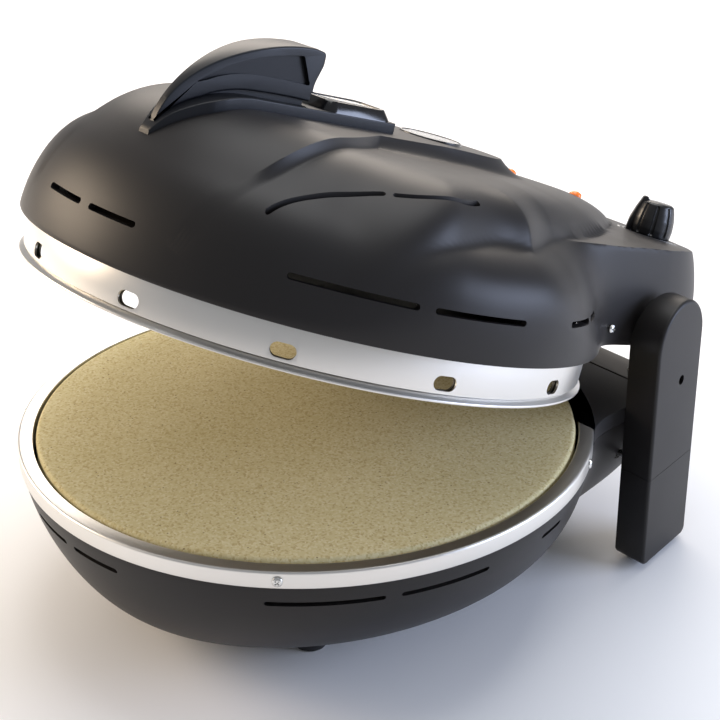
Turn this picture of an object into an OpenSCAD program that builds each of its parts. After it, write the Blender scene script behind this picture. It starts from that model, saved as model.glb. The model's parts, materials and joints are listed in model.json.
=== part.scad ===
// Electric pizza maker: a shallow heated base with a baking stone and a domed lid
// that swings on two side arms, which also stand on the table as the rear feet.
// The lid is drawn closed, in the base's own frame, and then swung open.

/* [Overall] */
// Diameter of the baking stone
stone_d = 308; // [290:1:320]
// Height of the steel ring's top above the table
ring_h = 102; // [96:1:110]
// How far the lid stands open at rest, in degrees
open_a = 19.8; // [0:0.1:55]
// Distance from the stone's axis back to the middle of the footprint
mid_y = 43.75; // [30:0.05:60]

/* [Base] */
// Outer radius of the steel ring and of the base under it
body_r = 164.2; // [160:0.1:170]
// Depth of the bowl below the steel ring
bowl_h = 76; // [60:1:80]
// Half width of the base's rear bay, between the arms
bay_x = 113.8; // [108:0.1:113.9]
// Where the base's rear bay ends
bay_y = 196; // [190:1:200]
// Wall of the moulded casings
wall = 3; // [2:0.5:4]

/* [Arms] */
// Inner face of each arm, from the middle
arm_x = 114.1; // [114:0.1:118]
// Thickness of an arm at its front edge
arm_t = 22.4; // [18:0.1:26]
// Angle by which an arm's outer face closes in towards the rear
arm_taper = 11.5; // [6:0.5:13]
// Half width of an arm, seen from the side, and radius of its top
arm_r = 25.6; // [22:0.1:28]
// Centre line of an arm, behind the stone's axis
arm_y = 170.8; // [168:0.1:174]
// Height of the parting line of an arm above the table
seam_h = 62; // [50:1:80]

/* [Hinge] */
// Hinge axis behind the stone's axis
hinge_y = 184.5; // [182:0.1:187]
// Hinge axis above the steel ring
hinge_z = 39.5; // [37:0.1:42]
// Radius of the hinge pins
pin_r = 4; // [3:0.1:5]
// Running clearance between a pin and its bush
run = 0.05; // [0.02:0.01:0.09]

/* [Lid] */
// Radius of the lid's moulded skirt
lid_r = 163.4; // [161:0.1:165]
// Height of the skirt's lower edge over the ring, lid closed
skirt_z = 26; // [24:0.5:28]
// Height of the lid's flange over the ring, lid closed
flange_z = 3.5; // [2.5:0.1:5]
// Half width of the lid's rear body, between the arms
rear_x = 112.5; // [108:0.1:112.8]
// Where the lid's rear body ends
rear_y = 248; // [240:1:252]
// Height of the crown
crown_z = 110; // [104:1:114]
// Height of the lamp ridge where it leaves the crown
ridge_z = 102; // [98:1:104]
// Half width of the rear deck, inside its drafted walls
deck_x = 105; // [100:0.5:107]
// Half width of the crown's spine, behind the handle
spine_x = 31; // [28:1:36]
// Where the crown's spine ends
spine_y = 113; // [108:1:118]
// Height of the rear deck that carries the dial
deck_z = 81; // [78:1:84]

/* [Dial] */
// Dial position across the lid
dial_x = 54; // [50:1:62]
// Dial position behind the stone's axis
dial_y = 217; // [212:1:220]
// Radius of the dial's foot
dial_r = 13; // [11:0.5:15]
// Height of the dial
dial_h = 21; // [17:0.5:24]
// Grooves around the dial, one of whose places its pointer takes
grips = 9; // [7:2:15]

/* [Handle] */
// Half width of the handle's plate
plate_x = 17; // [15:0.5:19]
// Thickness of the handle's plate
plate_t = 5.3; // [4:0.1:6]
// Half width of the fin, at its broadest
fin_x = 11; // [9:0.5:12]
// Height of the fin's lower rail
rail = 8; // [6:0.5:10]

/* [Hidden] */
$fn = 96;
around = 80;                    // points round a casing
cy = 20;                        // centre that the casings' outlines are drawn from
stone_r = stone_d / 2;
rim_z = -9.8;                   // top of the bowl, under the steel ring
ring_in = stone_r + 1.7;        // inner edge of the steel ring
stone_t = 14;
band_r = 159.2;                 // outer radius of the lid's flange
slots_low = [[1.3, 13.5], [42.5, 65.5], [68.3, 87.5], [101.5, 112], [114, 123]];
slots_base = [[1.3, 13.5], [43, 65], [68, 86.5], [101.5, 108.5]];
ring_screws = [-122.4, -45.7, 45.7, 122.4];
arm_screw_at = [[108.2, -14], [105.4, -34]];    // how far out and how high the heads lie
heater_gap = 14;                // opening in each heater's loop, in degrees
lower_loops = [112, 62];
upper_loops = [118, 66];
leaf_l = 212;                   // how far the lamp ridge reaches behind the outlines' centre
gauge_y = 63;
gauge_r = 18.4;
window_y = -9.5;
lamps = [137.5, 204];           // where the lamps sit along the ridge
black = "#2b2a2b";
steel = "#c9c9c7";

// ---------- places ----------

// From the base's own frame, on the ring's top plane, to the table
module on_table() translate([0, -mid_y, ring_h]) children();

// The lid's swing about the hinge axis
module swung() on_table()
    translate([0, hinge_y, hinge_z]) rotate([-open_a, 0, 0])
        translate([0, -hinge_y, -hinge_z]) children();

module both() { children(); mirror([1, 0, 0]) children(); }

// ---------- surface rules ----------

function clamp01(t) = min(1, max(0, t));
function ease(t) = let (c = clamp01(t)) c * c * (3 - 2 * c);
function lerp(a, b, t) = a + (b - a) * t;

// Ray from [0, cy] at angle a (0 = front, 90 = right) to a circle about the origin
function circle_ray(r, a) = cy * cos(a) + sqrt(r * r - pow(cy * sin(a), 2));

// The same ray to a superellipse with half width x, rear length l and front length f
function box_ray(x, l, p, a, f = 60) =
    pow(pow(abs(sin(a)) / x, p) + pow(abs(cos(a)) / (cos(a) > 0 ? f : l), p), -1 / p);

// Round front and narrower rear bay, joined by a hollow fillet
function plan_ray(r, x, l, p, a) =
    pow(pow(circle_ray(r, a), 24) + pow(box_ray(x, l, p, a), 24), 1 / 24);

function lid_ray(a) = plan_ray(lid_r, rear_x, rear_y - cy, 5, a);

// The lamp ridge: full width in front, closing to a point like a leaf behind
function leaf_ray(a) =
    let (b = min(a, 360 - a))
    lerp(circle_ray(lid_r - 0.6, b), box_ray(125, leaf_l, 1.3, b), ease((b - 48) / 62));

// Share of its height that the lid's front keeps: level to the middle, then rolling over
function fall(s) = pow(1 - pow(clamp01(2 * s - 1), 2.1), 0.6135);

// The rear deck ends in an edge, crisp at the sides and rounder behind, over drafted walls;
// towards the front it turns into a soft shoulder
function deck_ray(a) = min(0.95 * lid_ray(a), box_ray(deck_x, 216, 6, a, 160));
function deck_level(y) =
    lerp(96, deck_z, ease((y + 150) / 130)) - 2.5 * ease((y - 190) / 50);
function under_z(y) = skirt_z + 28 * ease((y - 160) / 100);
// How far the soft shoulder has filled out, from the front round to the sides
function filled(a) = ease((min(a, 360 - a) - 42) / 25);
function deck_top(a, r) =
    let (
        y = cy - r * cos(a), low = under_z(y), edge = deck_ray(a),
        n = 2 - 0.85 * ease((y - 46) / 60) + 0.85 * ease((min(a, 360 - a) - 150) / 25),
        crisp = pow(1 - pow(clamp01((r - edge) / (lid_ray(a) - edge)), n), 1 / n),
        soft = pow(1 - pow(clamp01(r / lid_ray(a)), 8), lerp(0.6, 0.25, filled(a))))
    low + (deck_level(y) - low) * lerp(soft, crisp, ease((y - 5) / 70));

function ridge_level(y) =
    y < 60 ? lerp(crown_z - 4, ridge_z, (y + 150) / 210) : lerp(ridge_z, ridge_z - 10, (y - 60) / 150);

// The crown in plan: a broad hood in front that narrows to a spine with a round end
function crown_ray(a) =
    let (b = min(a, 360 - a))
    b < 90 ? min(0.985 * lid_ray(b), spine_x / max(0.01, sin(b)) + 84 * ease((50 - b) / 26))
    : box_ray(spine_x, spine_y - cy, 3, b);
function crown_flank(a) = 12 + 14 * ease((min(a, 360 - a) - 130) / 50);
function crown_top(x, y) =
    skirt_z + (crown_z - 4 * ease((y - 40) / 90) - skirt_z) * fall(norm([x, min(y, 30)]) / lid_r)
    - 1.6 * pow(x / 66, 2);

function smooth_max(a, b, k) = (a + b + sqrt(pow(a - b, 2) + k * k)) / 2;

// Lid under the crown: the lamp ridge, blended into the rear deck
function body_top(a, r) =
    let (
        y = cy - r * cos(a), deck = deck_top(a, r), t = r / leaf_ray(a), k = ease((y - 20) / 130),
        side = pow(1 - pow(clamp01(t), 8), 0.25),
        front = skirt_z + (ridge_level(y) - skirt_z) * lerp(fall(t), side, filled(a)),
        rear = deck + (ridge_level(y) - deck_level(y)) * pow(1 - pow(clamp01(t), 8), 0.7))
    smooth_max(deck, lerp(front, rear, k), lerp(3, 0.2, k));

// Top of the lid at angle a and radius r from [0, cy]: the crown, and a cove at its foot
lid_top = function(a, r)
    let (
        edge = crown_ray(a), t = (r - edge) / crown_flank(a),
        at = min(r, edge), x = at * sin(a), y = cy - at * cos(a),
        step = smooth_max(0, crown_top(x, y) - body_top(a, at), 2))
    body_top(a, r) + step * pow(1 - clamp01(t), 2);

// ---------- shapes ----------

// Solid through a stack of rings of points, closed by a fan at each end
module stack(rings) {
    n = len(rings[0]);
    m = len(rings);
    pts = [for (r = rings) each r];
    ends = [(rings[0][0] + rings[0][n / 2]) / 2, (rings[m - 1][0] + rings[m - 1][n / 2]) / 2];
    polyhedron(concat(pts, ends), concat(
        [for (i = [0:n - 1]) [n * m, (i + 1) % n, i]],
        [for (k = [0:m - 2], i = [0:n - 1], h = [0, 1])
            let (a = k * n + i, b = k * n + (i + 1) % n)
            h == 0 ? [a, b, b + n] : [a, b + n, a + n]],
        [for (i = [0:n - 1]) [n * m + 1, (m - 1) * n + i, (m - 1) * n + (i + 1) % n]]
    ), convexity = 8);
}

// One ring of a casing, at radius r(a) from [0, cy] and height z(a, r)
function casing_ring(r, z) =
    [for (i = [0:around - 1]) let (a = 360 * i / around)
        [r(a) * sin(a), cy - r(a) * cos(a), z(a, r(a))]];

module ring(r_out, r_in, z0, z1) translate([0, 0, z0]) difference() {
    cylinder(r = r_out, h = z1 - z0, $fn = 180);
    translate([0, 0, -1]) cylinder(r = r_in, h = z1 - z0 + 2, $fn = 180);
}

// Arc-shaped cutter about the origin, angles from the front towards the right
module arc_cut(a0, a1, r0, r1, z0, z1)
    rotate([0, 0, a0 - 90]) rotate_extrude(angle = a1 - a0, $fn = 96)
        translate([r0, z0]) square([r1 - r0, z1 - z0]);

// Slot with round ends, lying along X
module round_slot(l, w, h) linear_extrude(h, center = true) {
    square([l - w, w], center = true);
    for (s = [-1, 1]) translate([s * (l - w) / 2, 0]) circle(d = w, $fn = 24);
}

// Pan-head screw with a cross recess, head up, its top at z = 0
module screw(d = 3, head = 6, l = 8) difference() {
    union() {
        translate([0, 0, -1.8]) cylinder(d = head, h = 1.8, $fn = 32);
        translate([0, 0, -l]) cylinder(d = d, h = l, $fn = 24);
    }
    for (a = [0, 90]) rotate([0, 0, a]) translate([0, 0, -0.6])
        linear_extrude(2) square([head * 0.62, 0.9], center = true);
}

module at_front(a, r, z) rotate([0, 0, a]) translate([0, -r, z]) children();

// ---------- base ----------

// Outline of the base at a depth share t, from the full plan to the bowl's floor
function base_ray(a, grow) = plan_ray(body_r - 1.4 + grow, bay_x + grow, bay_y - cy + grow, 12, a);
function bowl_ring(t, grow = 0) =
    [for (i = [0:around - 1]) let (
        a = 360 * i / around,
        r = base_ray(a, grow),
        g = sqrt(1 - pow(clamp01(t), 1.5)),
        foot = [(84 + grow) * sin(a), 33 - (138 + grow) * cos(a)],
        rim = [r * sin(a), cy - r * cos(a)])
        [lerp(foot[0], rim[0], g), lerp(foot[1], rim[1], g), rim_z - (bowl_h + grow) * t]];
bowl_steps = [1, 0.985, 0.94, 0.86, 0.74, 0.6, 0.45, 0.3, 0.15, 0];

// Deep moulded cup: its floor, flank and rim, and the same again a wall further in
module bowl() stack(concat(
    [for (t = bowl_steps) bowl_ring(t)],
    [for (i = [len(bowl_steps) - 1:-1:0]) bowl_ring(bowl_steps[i], -wall)]
));

module base_shell() color(black) on_table() difference() {
    bowl();
    both() for (s = slots_base) arc_cut(s[0], s[1], 140, 175, -22.6, -19.6);
    for (z = [-14, -34]) translate([0, 150, z]) rotate([0, 90, 0])
        cylinder(r = 2.6, h = 300, center = true, $fn = 24);
    // seats for the arm screws' heads and for the gland's flange
    both() for (p = arm_screw_at) translate([90, 150, p[1]]) rotate([0, 90, 0])
        cylinder(r = 4.4, h = p[0] - 88.2, $fn = 32);
    translate([-60, bay_y - 20, -26]) rotate([-90, 0, 0]) cylinder(r = 6.8, h = 40, $fn = 32);
    translate([-60, bay_y - 23.4, -26]) rotate([-90, 0, 0]) cylinder(r = 9.4, h = 20, $fn = 32);
}

module base_ring() color(steel) on_table() difference() {
    rotate_extrude($fn = 180) polygon([
        [ring_in, -1], [ring_in + 0.8, 0], [body_r - 1, 0], [body_r, -1], [body_r, -9.2],
        [body_r - 1.6, -9.6], [body_r - 1.6, -1.8], [ring_in + 1.2, -1.8],
        [ring_in + 1.2, -12], [ring_in, -12]
    ]);
    for (a = ring_screws) at_front(a, body_r + 1, -5.2) rotate([-90, 0, 0])
        cylinder(r = 1.5, h = 4, $fn = 20);
}

module base_ring_screws() color("silver") on_table()
    for (a = ring_screws) at_front(a, body_r + 1.85, -5.2) rotate([90, 0, 0]) screw(2.6, 5.6, 6);

// Cover over the wiring bay, round the ring's seat; a groove parts its step from its lip
module base_deck() color("#353436") on_table() difference() {
    translate([0, 0, rim_z + 0.05]) linear_extrude(-rim_z - 0.05)
        polygon([for (p = bowl_ring(0)) if (p[1] > 60) [p[0], p[1]]]);
    translate([0, 0, -20]) cylinder(r = body_r + 0.3, h = 40, $fn = 180);
    translate([0, 0, -20]) linear_extrude(17) intersection() {
        polygon([for (p = bowl_ring(0, -wall)) if (p[1] > 60) [p[0], p[1]]]);
        difference() {
            square(500, center = true);
            circle(r = body_r + 3, $fn = 180);
        }
    }
    translate([-bay_x, 174, -1.2]) cube([2 * bay_x, 1.6, 3]);
    for (x = [-84, 84]) translate([x, 186, -5]) cylinder(r = 1.7, h = 10, $fn = 24);
}

module deck_screws() color("silver") on_table()
    for (x = [-84, 84]) translate([x, 186, 1.85]) screw(3, 6, 8);

module heat_pan() color("#8d8b86") on_table() difference() {
    rotate_extrude($fn = 180) polygon([
        [0, -36], [120, -36], [146, -24], [149.6, -16.4], [149.6, -15.2], [154.4, -15.2],
        [154.4, -14], [148.2, -14], [144.8, -22.8], [119.6, -34.8], [0, -34.8]
    ]);
    tail_holes(lower_loops, -40);
}

// Tabs on the pan's rim that the stone sits on
module stone_rests() color("#9a9892") on_table()
    for (a = [30:60:330]) at_front(a, 150.4, -14) translate([-6, -3.2, 0]) cube([12, 6.4, 0.8]);

// Sheathed heater: an open loop with a ferrule on each end, which the leads leave by
module heater(r, z, tail) {
    rotate([0, 0, 90 + heater_gap / 2]) rotate_extrude(angle = 360 - heater_gap, $fn = 96)
        translate([r, z]) circle(r = 3.2, $fn = 20);
    at_tails(r) translate([0, 0, z - 4.5 + min(0, tail)])
        cylinder(r = 4.6, h = abs(tail) + 9, $fn = 24);
}
module at_tails(r) for (s = [-1, 1]) rotate([0, 0, s * heater_gap / 2]) translate([0, r, 0])
    children();

// Holes that the ferrules pass through
module tail_holes(loops, z) for (r = loops) at_tails(r) translate([0, 0, z])
    cylinder(r = 5, h = 20, $fn = 24);

module lower_element() color("#5d5a57") on_table() {
    for (r = lower_loops) heater(r, -27, -16);
}

module clips(r, z0, z1) for (a = [0:120:240]) rotate([0, 0, a - 60]) translate([r, 0, 0]) {
    translate([-7, -4, min(z0, z1)]) cube([2, 8, abs(z1 - z0)]);
    translate([5, -4, min(z0, z1)]) cube([2, 8, abs(z1 - z0)]);
    translate([-7, -4, z0]) cube([14, 8, 1.2]);
}

module lower_element_clips() color("#a7a49d") on_table() {
    for (r = lower_loops) clips(r, -34.7, -27);
}

module terminal_block() color("#e7e2d6") on_table() difference() {
    translate([-30, 168, -30]) cube([60, 16, 16]);
    for (x = [-20, 0, 20]) translate([x, 176, -22]) cylinder(r = 3, h = 20, $fn = 24);
}

// Gland that holds the mains lead where it enters the rear wall
module cord_gland() color("#1f1f20") on_table() translate([-60, bay_y - 3.4, -26]) rotate([-90, 0, 0])
    difference() {
        union() {
            translate([0, 0, -3]) cylinder(r = 9, h = 2.8, $fn = 32);
            cylinder(r = 6.4, h = 5, $fn = 32);
            translate([0, 0, 4.2]) cylinder(r = 8.5, h = 3.6, $fn = 6);
            translate([0, 0, 7.8]) cylinder(r = 6.2, h = 5, $fn = 32);
        }
        translate([0, 0, -5]) cylinder(r = 3.6, h = 30, $fn = 32);
    }

module front_feet() color("#1c1c1d") on_table() both() translate([62, -50, 0])
    rotate_extrude($fn = 48) polygon([
        [0, -ring_h], [9, -ring_h], [10.5, -ring_h + 1.2], [12, -bowl_h - 12],
        [12, -bowl_h - 9.9], [0, -bowl_h - 9.9]
    ]);

// ---------- arms ----------

// Side view of an arm: a slab with a half-round top and eased lower corners
module arm_side() {
    corner = 5;
    translate([arm_y, hinge_z]) circle(r = arm_r, $fn = 96);
    difference() {
        translate([arm_y - arm_r, 3 - ring_h]) square([2 * arm_r, hinge_z + ring_h - 3]);
        for (s = [-1, 1]) translate([arm_y + s * arm_r, 3 - ring_h]) difference() {
            square(2 * corner, center = true);
            translate([-s * corner, corner]) circle(r = corner, $fn = 32);
        }
    }
}

// Plan of an arm: the outer face closes in towards the rear, its edges are rounded
module arm_plan() {
    edge = 5;
    y0 = arm_y - arm_r;
    y1 = arm_y + arm_r;
    x0 = arm_x + arm_t;
    x1 = x0 - (y1 - y0) * tan(arm_taper);
    polygon([
        [arm_x, y0], [x0 - edge, y0],
        for (i = [1:5]) [x0 - edge + edge * sin(18 * i), y0 + edge - edge * cos(18 * i)],
        for (i = [0:5]) [x1 - edge + edge * cos(18 * i), y1 - edge + edge * sin(18 * i)],
        [arm_x, y1]
    ]);
}

module arm_blank(z0, z1) intersection() {
    translate([arm_x, 0, 0]) rotate([90, 0, 90]) linear_extrude(arm_t + 4) arm_side();
    translate([0, 0, z0]) linear_extrude(z1 - z0) arm_plan();
}

module arm() {
    seam = seam_h - ring_h;
    difference() {
        arm_blank(seam + 0.25, hinge_z + arm_r + 2);
        // pin seat, blind from the inner face
        translate([arm_x - 1, hinge_y, hinge_z]) rotate([0, 90, 0]) cylinder(r = pin_r, h = 9, $fn = 48);
        // cored inside, open towards the base
        translate([arm_x - 1, arm_y - arm_r + 5, seam - 1]) cube([9, 34, 50]);
        // access hole to the fixing on the outer face
        translate([arm_x + 6, 174, 15]) rotate([0, 90, 0]) cylinder(r = 2.9, h = 30, $fn = 32);
        for (z = [-14, -34]) translate([arm_x - 1, 150, z]) rotate([0, 90, 0])
            cylinder(r = 1.9, h = 16, $fn = 24);
    }
}

module arm_foot() difference() {
    arm_blank(3 - ring_h, seam_h - ring_h);
    translate([arm_x - 1, arm_y - arm_r + 5, 8 - ring_h]) cube([9, 34, seam_h]);
}

module arm_right() color(black) on_table() arm();
module arm_left() color(black) on_table() mirror([1, 0, 0]) arm();
module arm_right_foot() color(black) on_table() arm_foot();
module arm_left_foot() color(black) on_table() mirror([1, 0, 0]) arm_foot();

module arm_pads() color("#1c1c1d") on_table() both()
    translate([arm_x + 2, arm_y - 18, -ring_h]) linear_extrude(2.95) {
        square([9, 34]);
    }

module arm_screws() color("silver") on_table() both() for (p = arm_screw_at)
    translate([p[0], 150, p[1]]) rotate([0, -90, 0]) screw(3.7, 8, arm_x + 14.2 - p[0]);

module hinge_pin() translate([0, hinge_y, hinge_z]) rotate([0, 90, 0]) {
    translate([0, 0, 91]) cylinder(r = pin_r, h = arm_x + 7.9 - 91, $fn = 48);
    translate([0, 0, 88.6]) cylinder(r = pin_r + 2.5, h = 2.4, $fn = 48);
}
module hinge_pin_right() color("silver") on_table() hinge_pin();
module hinge_pin_left() color("silver") on_table() mirror([1, 0, 0]) hinge_pin();

// ---------- stone ----------

module pizza_stone() color("#c4b687") on_table() rotate_extrude($fn = 180) polygon([
    [0, -13.1], [stone_r - 1.5, -13.1], [stone_r - 0.4, -12.2], [stone_r, -11], [stone_r, -1.4],
    [stone_r - 0.5, -0.3], [stone_r - 1.6, 0.5], [stone_r - 3, 0.9], [0, 0.9]
]);

// ---------- lid ----------

// Underside of the lid's outer wall: level round the front, rising behind the hinge
lid_low = function(a, r) under_z(cy - r * cos(a));

// Radius of a ring at share s of the way from the crown's foot out to the lid's edge;
// the middle ring runs along the deck's edge
function foot_ray(a) = min(crown_ray(a) + crown_flank(a), 0.99 * lid_ray(a));
function side_ring(a, s) =
    let (
        foot = foot_ray(a), ray = lid_ray(a),
        mid = min(lerp(foot, ray, 0.8), max(lerp(foot, ray, 0.3), deck_ray(a))))
    s < 0.5 ? lerp(foot, mid, 2 * s) : lerp(mid, ray, 2 * s - 1);
side_steps = [0.997, 0.985, 0.95, 0.88, 0.78, 0.66, 0.56, 0.5, 0.44, 0.32, 0.16];
crown_steps = [1, 0.97, 0.93, 0.87, 0.78, 0.64, 0.44, 0.2];
lid_edge = function(a) lid_ray(a);

// The inside follows the outside, drawn in by one wall
function inset(a) = 1 - wall / lid_ray(a);
lid_inside = function(a, r) max(lid_low(a, r) + 2, lid_top(a, r / inset(a)) - wall - 1.5);
dome_steps = len(side_steps) + len(crown_steps);
function lid_ring(a, i) =
    i < len(crown_steps) ? crown_steps[len(crown_steps) - 1 - i] * crown_ray(a)
    : side_ring(a, side_steps[dome_steps - 1 - i]);

// Moulded dome: its inside from the crown out to the rim, then the outside back again.
// The rings follow the crown's edge, so that its crease is a clean line.
module lid_dome() stack(concat(
    [for (i = [0:dome_steps - 1]) casing_ring(function(a) inset(a) * lid_ring(a, i), lid_inside)],
    [casing_ring(function(a) inset(a) * lid_ray(a), lid_low)],
    [casing_ring(lid_edge, lid_low)],
    [for (s = side_steps) casing_ring(function(a) side_ring(a, s), lid_top)],
    [for (t = [1, 0.5]) casing_ring(function(a) min(crown_ray(a) + t * crown_flank(a),
        (0.985 + 0.004 * t) * lid_ray(a)), lid_top)],
    [for (s = crown_steps) casing_ring(function(a) s * crown_ray(a), lid_top)]
));

module lid_shell() color(black) swung() difference() {
    lid_dome();
    lid_cuts();
}

// Plate that closes the lid's rear body from below, behind the round reflector
module lid_rear_cover() color(black) swung() difference() {
    intersection() {
        translate([-120, 0, 0]) rotate([90, 0, 90]) linear_extrude(240) polygon(concat(
            [for (y = [150:14:248]) [y, under_z(y) + 0.3]],
            [for (y = [248:-14:150]) [y, under_z(y) + 2.3]]));
        linear_extrude(90) polygon([for (i = [0:around - 1]) let (
            a = 360 * i / around, r = lid_ray(a) - wall - 1.2) [r * sin(a), cy - r * cos(a)]]);
    }
    cylinder(r = 157.9, h = 60, $fn = 180);
    // room for the hinge brackets
    both() translate([86, hinge_y - 19.5, 20]) cube([17.5, 36, 60]);
}

module lid_cuts() {
    both() for (s = slots_low) arc_cut(s[0], s[1], 140, 180, 47, 50.2);
    // upper slots run down the shoulder, cut from above
    both() for (s = [[-44.3, -18], [-15, 10]]) translate([0, -30, 60])
        rotate([0, 0, s[0]]) rotate_extrude(angle = s[1] - s[0], $fn = 96)
            translate([120, 0]) square([3, 60]);
    // room for the hinge bushes
    translate([0, hinge_y, hinge_z]) rotate([0, 90, 0]) cylinder(r = 8, h = 260, center = true, $fn = 40);
    // seats for the dial's base, the gauge and the lamps
    translate([dial_x, dial_y, 60]) cylinder(r = dial_r + 3.15, h = 40, $fn = 48);
    translate([0, gauge_y, 98]) cylinder(r = gauge_r + 0.2, h = 20, $fn = 64);
    for (y = lamps) translate([0, y, 72]) cylinder(r = 4.4, h = 40, $fn = 32);
    // fixing hole behind each side
    translate([0, 126, 36]) rotate([0, 90, 0]) cylinder(r = 1.6, h = 300, center = true, $fn = 20);
}

module lid_band() color(steel) swung() difference() {
    ring(157.4, 156.2, flange_z + 4, skirt_z + 2);
    for (a = [15:30:345]) at_front(a, 157, 13) rotate([90, 0, 0]) {
        round_slot(13, 7.6, 8);
    }
}

module lid_flange() color(steel) swung() rotate_extrude($fn = 180) polygon([
    [154.2, flange_z], [band_r, flange_z], [band_r, flange_z + 1.2], [157.6, flange_z + 2.4],
    [156, flange_z + 2.4], [156, flange_z + 3.8], [154.2, flange_z + 3.8]
]);

module lid_reflector() color("#b5b3ae") swung() difference() {
    rotate_extrude($fn = 180) polygon([
        [153.9, flange_z + 4.2], [153.9, 22], [146, 38], [128, 45], [0, 50], [0, 51.2],
        [128.3, 46.2], [147, 39], [155.1, 22.4], [155.1, flange_z + 5.2], [156, flange_z + 5.2],
        [156, flange_z + 4.2]
    ]);
    tail_holes(upper_loops, 40);
}

module upper_element() color("#5d5a57") swung() {
    heater(upper_loops[0], 29, 18);
    heater(upper_loops[1], 34, 15);
}

module upper_element_clips() color("#a7a49d") swung() {
    clips(upper_loops[0], 43.7, 31);
    clips(upper_loops[1], 45.7, 36);
}

module hinge_bracket() difference() {
    union() {
        translate([93, hinge_y - 12, hinge_z - 5]) cube([6, 24, 23]);
        translate([92, hinge_y, hinge_z]) rotate([0, 90, 0]) cylinder(r = 9, h = 9.6, $fn = 64);
    }
    translate([90, hinge_y, hinge_z]) rotate([0, 90, 0]) cylinder(r = 6, h = 30, $fn = 48);
}
module hinge_bracket_right() color("#9b9a96") swung() hinge_bracket();
module hinge_bracket_left() color("#9b9a96") swung() mirror([1, 0, 0]) hinge_bracket();

// Flanged bush: pressed into the bracket, its collar fills the gap to the arm
module hinge_bush() translate([91.5, hinge_y, hinge_z]) rotate([0, 90, 0]) difference() {
    union() {
        cylinder(r = 6, h = 20, $fn = 48);
        translate([0, 0, 17.5]) cylinder(r = 7.6, h = 4.2, $fn = 48);
    }
    translate([0, 0, -1]) cylinder(r = pin_r + run, h = 30, $fn = 48);
}
module hinge_bush_right() color("#d8d4c8") swung() hinge_bush();
module hinge_bush_left() color("#d8d4c8") swung() mirror([1, 0, 0]) hinge_bush();

module lid_screws() color("silver") swung() both() translate([115.8, 126, 36]) rotate([0, 90, 0])
    screw(2.6, 5, 10);

// Long plate on the crown that carries the handle and the sight window
function plate_low(y) = crown_top(0, y) + 0.3;
function plate_top(y) = plate_low(y) + plate_t * ease((y + 143) / 18);
plate_y = [for (y = [-135:6:-75]) y, -40, 18];
module plate_side() polygon(concat(
    [for (y = plate_y) [y, plate_top(y)]],
    [for (i = [len(plate_y) - 1:-1:0]) [plate_y[i], plate_low(plate_y[i])]]
));

module handle_plate() color("#23262e") swung() difference() {
    translate([-plate_x, 0, 0]) rotate([90, 0, 90]) linear_extrude(2 * plate_x) plate_side();
    // the front narrows to a blunt tip, the rear corners are rounded
    both() translate([0, 0, 60]) linear_extrude(80) {
        polygon([[3.5, -136], [12.5, -116.5], [16, -108.5], [plate_x + 0.1, -102], [40, -102], [40, -136]]);
        translate([plate_x - 3, 15]) difference() {
            square(4);
            circle(r = 3, $fn = 32);
        }
    }
}

// Curved fin, hollowed at its sides, that rises from the plate's tip and breaks off behind.
// Seen from above it tapers to the front; an inset foot carries its lower rail.
fin_y = -45;                    // where the back is highest
fin_l = 87;                     // from there to the tip
function fin_half(y) = 2 + (fin_x - 2) * ease((y + 136) / 64);
function back(b, in = 0) = [fin_y - (fin_l - in) * cos(b), 90.8 + (55 - in) * pow(sin(b), 1.1)];
function rail_z(y) = plate_top(y) + 0.05 + 3 * pow(sin(180 * clamp01((y + 108) / 90)), 0.7);

module fin_side() polygon(concat(
    [for (b = [5:8.5:90]) back(b)],
    [[-41.6, 145.2], [-39.8, 144], [-39.1, 140.6], [-39.9, 136], [-42, 129]],
    [for (y = [-42, -50, -59, -68, each [-75:-6:-129], -132]) [y, rail_z(y)]]
));
module fin_plan(in = 0) polygon([for (s = [-1, 1], y = [-132:6:-36])
    let (v = s < 0 ? y : -168 - y) [s * (fin_half(v) - in), v]]);
module fin_recess() polygon(concat(
    [for (y = [-45:-8:-109]) [y, rail_z(y) + rail]],
    [for (b = [33:6.5:85]) back(b, 4.6)]
));
module fin_foot() polygon(concat(
    [for (y = [-46, each [-75:-6:-111]]) [y, plate_top(y) + 0.05]],
    [for (y = [-111:6:-46]) [y, rail_z(y) + 1]]
));
module fin_slab() rotate([90, 0, 90]) linear_extrude(2 * fin_x + 2, center = true) children();

module handle_fin() color("#23262e") swung() {
    difference() {
        intersection() {
            fin_slab() fin_side();
            translate([0, 0, 60]) linear_extrude(100) fin_plan();
        }
        difference() {
            fin_slab() fin_recess();
            translate([0, 0, 60]) linear_extrude(100) fin_plan(2.6);
        }
    }
    intersection() {
        fin_slab() fin_foot();
        translate([0, 0, 60]) linear_extrude(100) fin_plan(2.6);
    }
}

// Rectangle with round corners, lying along Y
module soft_rect(w, l, r) {
    square([w - 2 * r, l], center = true);
    square([w, l - 2 * r], center = true);
    for (x = [-1, 1], y = [-1, 1]) translate([x * (w / 2 - r), y * (l / 2 - r)]) circle(r = r, $fn = 32);
}

module window_bezel() color("#1b1b1d") swung() translate([0, window_y, plate_top(window_y) + 0.1])
    difference() {
        union() {
            linear_extrude(2.4) soft_rect(32.6, 50, 7);
            linear_extrude(4) soft_rect(29.6, 47, 6.5);
            linear_extrude(5.6) soft_rect(26.6, 44, 6);
        }
        translate([0, 0, 2.4]) linear_extrude(5) soft_rect(21, 38.4, 4);
    }

module window_glass() color([0.85, 0.88, 0.9, 0.4]) swung()
    translate([0, window_y, plate_top(window_y) + 2.6]) linear_extrude(2.2) soft_rect(20.8, 38.2, 3.9);

module gauge_seat() swung() translate([0, gauge_y, crown_top(0, gauge_y) - 6]) children();

module gauge_rim() color("#17181a") gauge_seat() ring(gauge_r, gauge_r - 1.4, 0, 7.4);

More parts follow.
